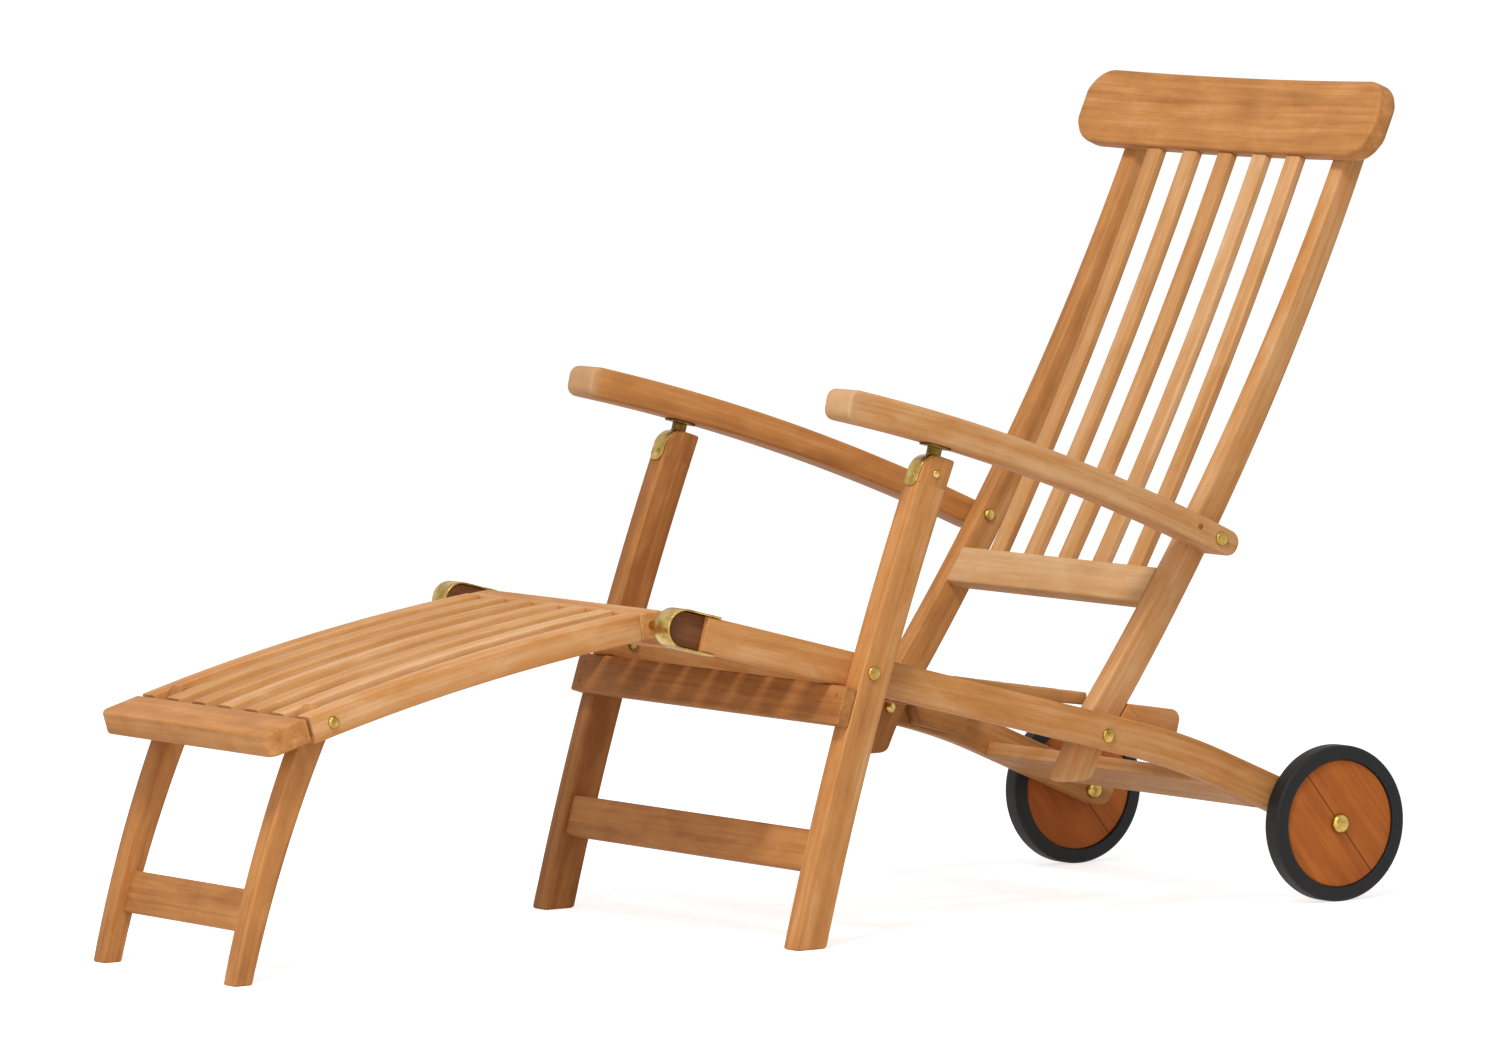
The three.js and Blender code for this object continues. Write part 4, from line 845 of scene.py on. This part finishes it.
def make_seat_boards():
    """Slats along a line that sags between the rail noses and the back, the two rails under them,
    and the board before the wheels."""
    slat_length = np.linalg.norm(rail_point(BACK_PIVOT_REACH) - footrest_pivot)
    slat_length = slat_length - SLAT_SETBACK - SLAT_REAR_LEAD
    flush = (RAIL_DEPTH - SLAT_THICKNESS) / 2
    start = footrest_pivot + rail_along * SLAT_SETBACK + rail_up * flush
    end = start + rail_along * slat_length + rail_up * SLAT_REAR_RISE
    slat_line = bezier(start, control_bowed(start, end, -SLAT_SAG), end)
    spare = unit(slat_line[-1] - slat_line[-2]) * SLAT_REAR_SPARE
    for i in range(SLAT_COUNT):
        x = SLAT_REACH * (2 * i / (SLAT_COUNT - 1) - 1)
        piece(f"teak_seat_slat_{i + 1}", "root", SLAT_TEAK,
              [board(np.concatenate([slat_line, [end + spare]]), SLAT_THICKNESS, SLAT_WIDTH, x, 2.5,
                     (2.5, 2.5))], [f"seat_slat_{i + 1}"])

    rows = np.arange(len(slat_line))
    for name, distance in (("front", CROSS_RAIL_FRONT), ("rear", slat_length - CROSS_RAIL_REAR)):
        row = distance / slat_length * (len(slat_line) - 1)
        slope = unit(read_off(tangents(slat_line), rows, row))
        under = SLAT_THICKNESS / 2 + FIT + CROSS_RAIL_DEPTH / 2
        at = read_off(slat_line, rows, row) - left_of(slope) * under
        piece(f"teak_{name}_cross_rail", "root", FRAME_TEAK,
              [cross_board(at, slope, CROSS_RAIL_WIDTH, CROSS_RAIL_DEPTH, rail_inner - FIT, 2.0,
                           (1.0, 1.0))], [f"seat_{name}_cross_rail"])

    drop = (REAR_BOARD_THICKNESS - RAIL_DEPTH) / 2
    at = over_axle - tail_along * REAR_BOARD_LEAD + tail_up * drop
    piece("teak_rear_cross_board", "root", FRAME_TEAK,
          [cross_board(at, tail_along, REAR_BOARD_WIDTH, REAR_BOARD_THICKNESS, rail_inner - FIT, 3.0,
                       (1.0, 1.0))], ["rear_cross_board"])


def make_stop_blocks():
    """Block on the inner side of each rail, with one face against the back of the stile."""
    up = unit(stile_control - back_pivot)
    touch = -left_of(up) * (stile_depth(0) / 2 + FIT)

    def on_rail(reach, rise):
        """Point at a reach behind the back's pivot along the rail and a rise above it."""
        return back_pivot + rail_along * reach + rail_up * rise

    outline = rounded([
        back_pivot + up * STOP_TOUCH[1] + touch, back_pivot + up * STOP_TOUCH[0] + touch,
        on_rail(STOP_FRONT, STOP_FOOT), on_rail(STOP_REAR, STOP_FOOT), on_rail(STOP_REAR, STOP_HEIGHT),
    ], (1.5, 2.0, 2.0, 2.0, STOP_ROUND))
    for side, sign in SIDES:
        piece(f"teak_stop_block_{side}", "root", FRAME_TEAK,
              [slab(outline, STILE_THICKNESS, sign * stile_middle, 1.8, rail_along)],
              [f"back_stop_block_{side}"])


def make_rail_bolts():
    """Bolts of the legs and the back, and the stub axles, each turned about its own pivot."""
    bolt = (SHANK_RADIUS, HEAD_RADIUS, HEAD_HEIGHT, NUT_RADIUS, NUT_HEIGHT)
    stub = (AXLE_RADIUS, AXLE_CAP_RADIUS, AXLE_CAP_HEIGHT, AXLE_NUT_RADIUS, AXLE_NUT_HEIGHT)
    disc_outer = RAIL_OUTER + WHEEL_PLAY + DISC_INSET + DISC_THICKNESS
    kinds = (
        ("brass_leg_bolt", "leg_pivot_bolt", leg_pivot, rail_inner, leg_outer, bolt),
        ("brass_back_bolt", "back_pivot_bolt", back_pivot, stile_inner, RAIL_OUTER, bolt),
        ("brass_wheel_axle", "wheel_axle", axle, rail_inner, disc_outer, stub),
    )
    for side, sign in SIDES:
        for name, solid, at, inner, outer, sizes in kinds:
            piece(f"{name}_{side}", "root", BRASS,
                  [turned(in_space(at, 0)[0], (sign, 0, 0), bolt_profile(inner - FIT, outer + FIT, *sizes))],
                  [f"{solid}_{side}"])


# Wheels

def make_wheels():
    """Tyre and disc, each a closed profile of quarter circles spun about the axle."""
    tyre_inner = RAIL_OUTER + WHEEL_PLAY
    tyre_outer = tyre_inner + TYRE_WIDTH
    disc_radius = WHEEL_RADIUS - TYRE_DEPTH
    disc_inner = tyre_inner + DISC_INSET
    disc_outer = disc_inner + DISC_THICKNESS

    def arc(radius_centre, along_centre, size, quarter):
        """Quarter circle of a profile, after a number of quarter turns."""
        angle = np.linspace(0, math.pi / 2, 8) + quarter * math.pi / 2
        return np.stack([radius_centre + size * np.cos(angle), along_centre + size * np.sin(angle)], axis=-1)

    outer = WHEEL_RADIUS - TYRE_SHOULDER
    bead = disc_radius + FIT + TYRE_BEAD
    tyre = np.concatenate([
        arc(outer, tyre_outer - TYRE_SHOULDER, TYRE_SHOULDER, 0),
        arc(bead, tyre_outer - TYRE_BEAD, TYRE_BEAD, 1),
        arc(bead, tyre_inner + TYRE_BEAD, TYRE_BEAD, 2),
        arc(outer, tyre_inner + TYRE_SHOULDER, TYRE_SHOULDER, 3),
    ])
    disc = np.concatenate([
        arc(disc_radius - DISC_EDGE, disc_outer - DISC_EDGE, DISC_EDGE, 0),
        [[DISC_BORE, disc_outer], [DISC_BORE, disc_inner]],
        arc(disc_radius - DISC_EDGE, disc_inner + DISC_EDGE, DISC_EDGE, 3),
    ])
    hub = in_space(axle, 0)[0]
    joint_slope = unit(point(*WHEEL_JOINT))
    for side, sign in SIDES:
        rubber = turned(hub, (sign, 0, 0), tyre, 96, closed=True)
        piece(f"rubber_tyre_{side}", f"wheel_{side}", RUBBER, [rubber], [f"wheel_tyre_{side}"])
        wood = turned(hub, (sign, 0, 0), disc, 96, closed=True)
        flat = wood["vertices"][:, 1:] - hub[1:]
        across = flat @ left_of(joint_slope)
        wood["grain"] = np.stack([flat @ joint_slope, across, wood["vertices"][:, 0]], axis=-1)
        made = piece(f"teak_wheel_disc_{side}", f"wheel_{side}", WHEEL_TEAK, [wood],
                     [f"wheel_disc_{side}"])
        mark(made.data, "joint", across)


# Front legs and arms

def on_legs(height, inset, thickness):
    """Place of a cross board at a height, its front an inset behind the front of the legs."""
    place, slope = at_height(leg_line, height)
    return place + left_of(slope) * (LEG_DEPTH / 2 - inset - thickness / 2), slope


def make_leg_frame():
    """Legs that end in two cheeks with a slot between them, the apron and the stretcher."""
    slot_end = arm_pivot - leg_top_slope * LEG_SLOT_DEPTH
    keep = (leg_line - slot_end) @ leg_top_slope < -1.0
    lower = np.concatenate([leg_line[keep], [slot_end]])
    cheek = (LEG_THICKNESS - LEG_SLOT_WIDTH) / 2
    off = (LEG_SLOT_WIDTH + cheek) / 2
    front = left_of(leg_top_slope)
    foot = -LEG_SLOT_DEPTH - 4
    half = LEG_DEPTH / 2 - 0.15
    outline = rounded([arm_pivot + leg_top_slope * up + front * ahead for up, ahead in (
        (foot, half), (foot, -half), (LEG_TOP_REAR, -half), (LEG_TOP, half))],
        (0.5, 0.5, 3.0, LEG_TOP_ROUND), 10)
    pin = [(POLE, leg_outer - 4), (LEG_PIN_RADIUS, leg_outer - 4), (LEG_PIN_RADIUS, leg_outer + 0.2)]
    pin = np.concatenate([pin, dome(LEG_PIN_RADIUS, leg_outer + 0.4, 2.0)])
    for side, sign in SIDES:
        x = sign * leg_middle
        shapes = [board(lower, LEG_DEPTH, LEG_THICKNESS, x, 3.0, (4.0, 0.0), cuts=(point(-1, 0), None))]
        for way in (1, -1):
            shapes.append(slab(outline, cheek - 0.3, x + way * (off - 0.15), 2.5, leg_top_slope))
        piece(f"teak_front_leg_{side}", "leg_frame", FRAME_TEAK, shapes, [f"front_leg_{side}"])
        piece(f"brass_leg_pin_{side}", "leg_frame", BRASS,
              [turned(in_space(arm_pivot, 0)[0], (sign, 0, 0), pin, 32)])
        make_leg_strap(side, sign)
    make_apron()
    at, slope = on_legs(STRETCHER_RISE, STRETCHER_INSET, STRETCHER_THICKNESS)
    piece("teak_leg_stretcher", "leg_frame", FRAME_TEAK,
          [cross_board(at, slope, STRETCHER_HEIGHT, STRETCHER_THICKNESS, leg_inner - FIT, 3.0, (1.0, 1.0))],
          ["leg_stretcher"])


def make_apron():
    """Board across the front of the legs. It slides down them until both of its upper corners
    clear the underside of the rails, and four plugs cover its screws."""
    at, slope = on_legs(leg_pivot[1] - APRON_DROP, -FIT - APRON_THICKNESS, APRON_THICKNESS)
    front = left_of(slope) * APRON_THICKNESS / 2
    top = at + slope * APRON_HEIGHT / 2
    under = min(-rail_up @ (top + front * way - leg_pivot) for way in (1, -1))
    missing = RAIL_DEPTH / 2 + APRON_GAP - under
    at = at + slope * missing / -(rail_up @ slope)
    piece("teak_front_apron", "leg_frame", FRAME_TEAK,
          [cross_board(at, slope, APRON_HEIGHT, APRON_THICKNESS, leg_outer, 2.5, (2.5, 2.5))],
          ["front_apron"])
    plug = [(POLE, -1.0), (APRON_PLUG_RADIUS, -1.0), (APRON_PLUG_RADIUS, 0.1),
            (APRON_PLUG_RADIUS - 0.6, 0.5), (POLE, 0.6)]
    plugs = [turned(in_space(at + front + slope * rise, sign * leg_middle)[0], along_space(left_of(slope))[0],
                    plug, 20) for _, sign in SIDES for rise in (-APRON_PLUG_RISE, APRON_PLUG_RISE)]
    piece("teak_apron_plugs", "leg_frame", PLUG_TEAK, plugs)


def make_leg_strap(side, sign):
    """Brass strap down the front of a leg, over its rounded top, with a screw at its foot."""
    front = left_of(leg_top_slope)
    corner = arm_pivot + leg_top_slope * (LEG_TOP - LEG_TOP_ROUND)
    corner = corner + front * (LEG_DEPTH / 2 - LEG_TOP_ROUND)
    turn = np.linspace(0, math.pi / 2, 20)[:, None]
    bend = front * np.cos(turn) + leg_top_slope * np.sin(turn)
    bend = corner + bend * (LEG_TOP_ROUND + WEAR_STRAP_OFF)
    low_place, low_slope = at_height(leg_line, arm_pivot[1] - WEAR_STRAP_LENGTH)
    low = low_place + left_of(low_slope) * (LEG_DEPTH / 2 + WEAR_STRAP_OFF)
    line = np.concatenate([[low], bend[:-3]])
    screw = low + leg_top_slope * WEAR_SCREW_RISE + front * 0.8
    piece(f"brass_leg_strap_{side}", "leg_frame", BRASS, [
        strip(line, WEAR_STRAP_THICKNESS, WEAR_STRAP_WIDTH, sign * leg_middle, 0.6, 9.0),
        turned(in_space(screw, sign * leg_middle)[0], along_space(front)[0],
               [(POLE, -1.0), (WEAR_SCREW_RADIUS, -1.0), (WEAR_SCREW_RADIUS, 0.4),
                (WEAR_SCREW_RADIUS - 1.2, 1.2), (POLE, 1.5)], 24),
    ])


def arm_depth(share):
    """Depth of an arm, blended evenly from its front to its tail."""
    return ARM_DEPTHS[0] + (ARM_DEPTHS[1] - ARM_DEPTHS[0]) * share


def make_arms():
    """Arms that taper and toe out, with a bracket over each leg, a rear bolt and a plug."""
    share = np.linspace(0, 1, len(arm_line)) * ARM_TAPER_SHARE
    depth = arm_depth(np.append(share, 1.0))
    line = np.concatenate([arm_line, [arm_tail]])
    slope = unit(tangents(arm_line)[np.argmin(np.abs(arm_line[:, 0] - arm_pivot[0]))])
    up = left_of(slope)
    over = ARM_TAPER_SHARE * (arm_over_leg[0] - arm_front[0]) / (arm_bolt[0] - arm_front[0])
    under = up @ (arm_over_leg - arm_pivot) - arm_depth(over) / 2 - FIT

    def on_arm(half, low, high):
        """Corners of a flat piece under the arm, from low to high above the leg's pivot."""
        return [arm_pivot + slope * y + up * z for y, z in (
            (-half, low), (half, low), (half, high), (-half, high))]

    plate = rounded(on_arm(BRACKET_HALF, under - BRACKET_THICKNESS, under), (0.6,) * 4, 3)
    tongue = rounded(on_arm(TONGUE_HALF, -TONGUE_HALF, under - TONGUE_DROP),
                     (TONGUE_HALF - 0.2, TONGUE_HALF - 0.2, 0.5, 0.5), 8)
    inner = rail_inner + arm_spread(arm_bolt[0]) + ARM_BOLT_COVER
    outer = rail_inner + ARM_THICKNESS + arm_spread(arm_bolt[0] - HEAD_RADIUS) + FIT
    bolt = np.concatenate([
        [[POLE, inner], [SHANK_RADIUS, inner], [SHANK_RADIUS, outer], [HEAD_RADIUS, outer]],
        dome(HEAD_RADIUS, outer + 0.8, HEAD_HEIGHT - 0.8)])
    lead = arm_bolt + unit(arm_control - arm_bolt) * ARM_PLUG_LEAD
    lead = lead + left_of(unit(arm_bolt - arm_control)) * ARM_PLUG_RISE
    face = rail_inner + ARM_THICKNESS + arm_spread(lead[0])
    plug = [(POLE, face - 4), (ARM_PLUG_RADIUS, face - 4), (ARM_PLUG_RADIUS, face + 0.1),
            (ARM_PLUG_RADIUS - 0.6, face + 0.35), (POLE, face + 0.5)]
    for side, sign in SIDES:
        body = f"arm_assembly_{side}"
        # The arm's first 16 mm are drawn paler towards the end colour: painted light on the end, and its
        # paler end grain.
        piece(f"teak_arm_{side}", body, FRAME_TEAK,
              [board(line, depth, ARM_THICKNESS, sign * arm_middle, 4.5, (13.0, 14.4),
                     toe=lambda y, sign=sign: sign * arm_spread(y), pale_end=16.0)], [f"arm_{side}"])
        x = sign * leg_middle
        # The bracket's near-brown colour is painted shade under the arm.
        piece(f"brass_arm_bracket_{side}", body, PAINTED_SHADE_BRASS,
              [slab(plate, BRACKET_WIDTH, x, 0.5), slab(tongue, TONGUE_THICKNESS, x, 0.6)],
              [f"arm_bracket_{side}"])
        piece(f"brass_arm_bolt_{side}", body, BRASS,
              [turned(in_space(arm_bolt, 0)[0], (sign, 0, 0), bolt)], [f"arm_bolt_{side}"])
        piece(f"teak_arm_plug_{side}", body, PLUG_TEAK,
              [turned(in_space(lead, 0)[0], (sign, 0, 0), plug, 24)])


# Backrest

def make_backrest():
    """Stiles with their cap nuts, the lower rail, the headboard on the stiles' fronts, and slats
    bowed from the rail to the headboard."""
    share = np.linspace(0, 1, len(stile_line))
    foot = back_pivot - point(*STILE_FOOT)
    line = smoothed_foot(np.concatenate([[foot], stile_line, [stile_top + head_up * STILE_LAP]]))
    nut = np.concatenate([
        [[POLE, 1 - stile_inner], [NUT_RADIUS, 1 - stile_inner], [NUT_RADIUS, FIT - stile_inner]],
        dome(NUT_RADIUS, 1.5 - stile_inner, 4.0)])
    for side, sign in SIDES:
        piece(f"teak_back_stile_{side}", "backrest", FRAME_TEAK,
              [board(line, stile_taper(line), STILE_THICKNESS, sign * stile_middle, 3.5, (8.0, 2.0),
                     cuts=(point(-1, 0), None))], [f"back_stile_{side}"])
        piece(f"brass_cap_nut_{side}", "backrest", BRASS,
              [turned(in_space(arm_bolt, 0)[0], (-sign, 0, 0), nut)])

    place, slope = at_height(stile_line, back_pivot[1] + LOWER_RAIL_RISE)
    ahead = left_of(slope)
    share_here = np.interp(place[1], stile_line[:, 1], share)
    at = place + ahead * (stile_depth(share_here) - LOWER_RAIL_THICKNESS) / 2
    piece("teak_lower_back_rail", "backrest", PALE_TEAK,
          [cross_board(at, slope, LOWER_RAIL_HEIGHT, LOWER_RAIL_THICKNESS, stile_inner - FIT, 3.0,
                       (1.0, 1.0))], ["lower_back_rail"])

    def forward(x):
        """Way forward of the headboard at x: it grows with the square of x."""
        return HEADBOARD_BOW * (x / HEADBOARD_HALF) ** 2

    lead = (stile_depth(1) + HEADBOARD_THICKNESS) / 2 + FIT - forward(stile_inner)
    head_foot = stile_top + head_ahead * lead - head_up * HEADBOARD_DROP
    piece("teak_headboard", "backrest", FRAME_TEAK,
          [cross_board(head_foot + head_up * HEADBOARD_HEIGHT / 2, head_up, HEADBOARD_HEIGHT,
                       HEADBOARD_THICKNESS, HEADBOARD_HALF - HEADBOARD_SPARE, 4.5, HEADBOARD_FILLETS,
                       forward)], ["headboard"])
    setback = (LOWER_RAIL_THICKNESS - BACK_SLAT_THICKNESS) / 2 - BACK_SLAT_LEAD
    slat_foot = at + slope * (LOWER_RAIL_HEIGHT / 2 + FIT) - ahead * setback
    for i in range(BACK_SLAT_COUNT):
        x = BACK_SLAT_REACH * (2 * i / (BACK_SLAT_COUNT - 1) - 1)
        slat_head = head_foot - head_up * FIT + head_ahead * forward(x)
        slat = bezier(slat_foot, control_bowed(slat_foot, slat_head, -BACK_SLAT_BOW), slat_head)
        piece(f"teak_back_slat_{i + 1}", "backrest", SLAT_TEAK,
              [board(slat, BACK_SLAT_THICKNESS, BACK_SLAT_WIDTH, x, 2.5, (0.8, 0.8),
                     cuts=(ahead, head_ahead))], [f"back_slat_{i + 1}"])


def smoothed_foot(line):
    """Line of a stile with the bend at its pivot eased on both sides."""
    foot, start, rest = line[0], line[1], line[2:]
    away = np.linalg.norm(rest - start, axis=1)
    far = rest[away > STILE_BEND_EASE]
    before = start + unit(foot - start) * STILE_BEND_EASE
    return np.concatenate([[foot], bezier(before, start, far[0], 12), far[1:]])


def stile_taper(line):
    """Depth at each point of a stile: blended by height from its foot to its top."""
    share = (line[:, 1] - line[0, 1]) / (line[-1, 1] - line[0, 1])
    return STILE_DEPTHS[0] + (STILE_DEPTHS[1] - STILE_DEPTHS[0]) * share


# Footrest

def make_footrest():
    """Rails and slats that follow one bowed line, with a rail, a board and a rod across them."""
    end = footrest_pivot - point(FOOTREST_LENGTH, FOOTREST_DROP)
    control = control_bowed(footrest_pivot, end, -FOOTREST_BOW)
    whole = bezier(footrest_pivot, control, end, 120)
    ups = -left_of(tangents(whole))
    run = run_of(whole)
    keep = (run >= FOOTREST_REAR_RAIL / 2 + FIT) & (run <= run[-1] - FIT)
    first_slope, last_slope = unit(control - footrest_pivot), unit(end - control)
    slat_line = (whole + ups * (FOOTREST_RAIL_DEPTH - FOOTREST_SLAT_THICKNESS) / 2)[keep]
    cuts = (left_of(first_slope), left_of(last_slope))
    rail_x = FOOTREST_HALF - FOOTREST_RAIL_THICKNESS / 2
    for side, sign in SIDES:
        piece(f"teak_footrest_rail_{side}", "footrest", FRAME_TEAK,
              [board(whole[keep], FOOTREST_RAIL_DEPTH, FOOTREST_RAIL_THICKNESS, sign * rail_x, 2.5,
                     (1.0, 1.0), cuts=cuts)], [f"footrest_rail_{side}"])
    for i in range(FOOTREST_SLAT_COUNT):
        x = FOOTREST_SLAT_REACH * (2 * i / (FOOTREST_SLAT_COUNT - 1) - 1)
        piece(f"teak_footrest_slat_{i + 1}", "footrest", SLAT_TEAK,
              [board(slat_line, FOOTREST_SLAT_THICKNESS, FOOTREST_SLAT_WIDTH, x, 2.0, (1.0, 1.0), cuts=cuts)],
              [f"footrest_slat_{i + 1}"])
    piece("teak_footrest_rear_rail", "footrest", FRAME_TEAK,
          [cross_board(footrest_pivot, first_slope, FOOTREST_REAR_RAIL, FOOTREST_REAR_RAIL, FOOTREST_HALF,
                       3.0, (2.0, 2.0))], ["footrest_rear_rail"])
    rise = (FOOTREST_RAIL_DEPTH - FOOTREST_BOARD_THICKNESS) / 2
    board_at = end - left_of(last_slope) * rise + last_slope * FOOTREST_BOARD_WIDTH / 2
    piece("teak_footrest_front_board", "footrest", FRAME_TEAK,
          [cross_board(board_at, last_slope, FOOTREST_BOARD_WIDTH, FOOTREST_BOARD_THICKNESS, FOOTREST_HALF,
                       4.0, (12.0, 2.0))], ["footrest_front_board"])
    rod = [(POLE, -FOOTREST_ROD_HALF), (FOOTREST_ROD_RADIUS, -FOOTREST_ROD_HALF),
           (FOOTREST_ROD_RADIUS, FOOTREST_ROD_HALF), (POLE, FOOTREST_ROD_HALF)]
    piece("brass_footrest_rod", "footrest", BRASS,
          [turned(in_space(footrest_pivot, 0)[0], (1, 0, 0), rod)], ["footrest_pivot_rod"])
    make_footrest_legs(read_off(whole, run, run[-1] - FOOTREST_LEG_INSET))


def make_footrest_legs(leg_top):
    """Two bowed legs that thin towards their feet, their stretcher and the rod they turn on."""
    leg_bottom = point(leg_top[0] - FOOTREST_LEG_FORWARD, 0)
    control = control_bowed(leg_bottom, leg_top, FOOTREST_LEG_BOW)
    leg = bezier(leg_bottom, control, leg_top)
    tip = leg_top + unit(leg_top - control) * FOOTREST_LEG_TOP
    share = np.append(np.linspace(0, 1, len(leg)) * FOOTREST_LEG_TAPER_SHARE, 1.0)
    thin, thick = FOOTREST_LEG_DEPTHS
    depth = thin + (thick - thin) * share
    inner = FOOTREST_HALF - FOOTREST_RAIL_THICKNESS - FIT - FOOTREST_LEG_THICKNESS
    for side, sign in SIDES:
        piece(f"teak_footrest_leg_{side}", "footrest_legs", FRAME_TEAK,
              [board(np.concatenate([leg, [tip]]), depth, FOOTREST_LEG_THICKNESS,
                     sign * (inner + FOOTREST_LEG_THICKNESS / 2), 2.5, (2.5, 10.0),
                     cuts=(point(-1, 0), None))], [f"footrest_leg_{side}"])
    place, slope = at_height(leg, FOOTREST_STRETCHER_RISE)
    here = np.interp(place[1], leg[:, 1], depth[:-1])
    forward = here / 2 - FOOTREST_STRETCHER_INSET - FOOTREST_STRETCHER_THICKNESS / 2
    piece("teak_footrest_stretcher", "footrest_legs", FRAME_TEAK,
          [cross_board(place + left_of(slope) * forward, slope, FOOTREST_STRETCHER_HEIGHT,
                       FOOTREST_STRETCHER_THICKNESS, inner - FIT, 2.5, (1.0, 1.0))],
          ["footrest_leg_stretcher"])
    reach = FOOTREST_HALF + FIT
    head = dome(NUT_RADIUS, reach, 4)
    piece("brass_footrest_leg_rod", "footrest_legs", BRASS,
          [turned(in_space(leg_top, 0)[0], (1, 0, 0), np.concatenate([
              head[::-1] * [1, -1],
              [[NUT_RADIUS, -reach], [FOOTREST_LEG_ROD_RADIUS, -reach], [FOOTREST_LEG_ROD_RADIUS, reach],
               [NUT_RADIUS, reach]],
              head]))], ["footrest_leg_pivot_rod"])


make_seat()
make_wheels()
make_leg_frame()
make_arms()
make_backrest()
make_footrest()


# Camera, floor and light

def make_camera():
    """Camera whose axes come from its turn round the chair, its height angle and its roll."""
    turn, height, roll = CAMERA_TURN, CAMERA_HEIGHT, CAMERA_ROLL
    back = Vector((math.sin(turn) * math.cos(height), -math.cos(turn) * math.cos(height), math.sin(height)))
    right = Vector((math.cos(turn), math.sin(turn), 0))
    up = back.cross(right)
    rolled_right = right * math.cos(roll) + up * math.sin(roll)
    rolled_up = up * math.cos(roll) - right * math.sin(roll)
    lens = bpy.data.cameras.new("photo camera")
    lens.sensor_width = CAMERA_SENSOR
    lens.lens = CAMERA_LENS
    lens.shift_x, lens.shift_y = CAMERA_SHIFT
    lens.clip_end = 100
    made = bpy.data.objects.new("photo camera", lens)
    bpy.context.scene.collection.objects.link(made)
    axes = Matrix((rolled_right, rolled_up, back)).transposed().to_4x4()
    made.matrix_world = Matrix.Translation(Vector(CAMERA_PLACE) * MILLIMETRE) @ axes
    bpy.context.scene.camera = made


def seen_white(tree):
    """1 for a ray from the camera, a mirror or a clear piece, and 0 for one that carries light."""
    path = add_node(tree, "ShaderNodeLightPath")
    seen = add_node(tree, "ShaderNodeMath", {
        0: path.outputs["Is Camera Ray"], 1: path.outputs["Is Glossy Ray"]}, operation="MAXIMUM")
    seen = add_node(tree, "ShaderNodeMath", {
        0: seen.outputs[0], 1: path.outputs["Is Transmission Ray"]}, operation="MAXIMUM")
    return seen.outputs[0]


def make_floor():
    """Plain white floor that the camera sees as white where no shadow falls."""
    half = 40.0
    mesh = bpy.data.meshes.new("floor")
    corners = [(-half, -half, 0), (half, -half, 0), (half, half, 0), (-half, half, 0)]
    mesh.from_pydata(corners, [], [(0, 1, 2, 3)])
    made = bpy.data.objects.new("floor", mesh)
    bpy.context.scene.collection.objects.link(made)
    material, tree = new_material("studio floor")
    paint = add_node(tree, "ShaderNodeBsdfDiffuse", {"Color": linear("#e8e8e8")})
    glow = add_node(tree, "ShaderNodeEmission", {"Color": (1, 1, 1, 1), "Strength": 0.7})
    both = add_node(tree, "ShaderNodeAddShader", {0: paint.outputs["BSDF"], 1: glow.outputs["Emission"]})
    mix = add_node(tree, "ShaderNodeMixShader", {
        0: seen_white(tree), 1: paint.outputs["BSDF"], 2: both.outputs["Shader"]})
    add_node(tree, "ShaderNodeOutputMaterial", {"Surface": mix.outputs["Shader"]})
    mesh.materials.append(material)


def make_light():
    """Soft key light high on the near side, a weaker one in front, and an even white room."""
    world = bpy.data.worlds.new("studio")
    bpy.context.scene.world = world
    world.use_nodes = True
    tree = world.node_tree
    tree.nodes.clear()
    room = add_node(tree, "ShaderNodeBackground", {"Color": (1, 1, 1, 1), "Strength": 0.43})
    white = add_node(tree, "ShaderNodeBackground", {"Color": (1, 1, 1, 1), "Strength": 1.0})
    mix = add_node(tree, "ShaderNodeMixShader", {
        0: seen_white(tree), 1: room.outputs["Background"], 2: white.outputs["Background"]})
    add_node(tree, "ShaderNodeOutputWorld", {"Surface": mix.outputs["Shader"]})
    for name, place, size, power in (
            ("key", (1.5, -1.5, 3.4), 0.9, 80.0),
            ("front", (2.6, -3.4, 1.6), 2.4, 50.0)):
        lamp = bpy.data.lights.new(name, "AREA")
        lamp.shape = "DISK"
        lamp.size = size
        lamp.energy = power
        made = bpy.data.objects.new(name, lamp)
        bpy.context.scene.collection.objects.link(made)
        made.location = place
        aim = Vector((0, 0, 0.4)) - Vector(place)
        made.rotation_euler = aim.to_track_quat("-Z", "Y").to_euler()


bpy.context.scene.view_settings.view_transform = "Standard"
make_camera()
make_floor()
make_light()
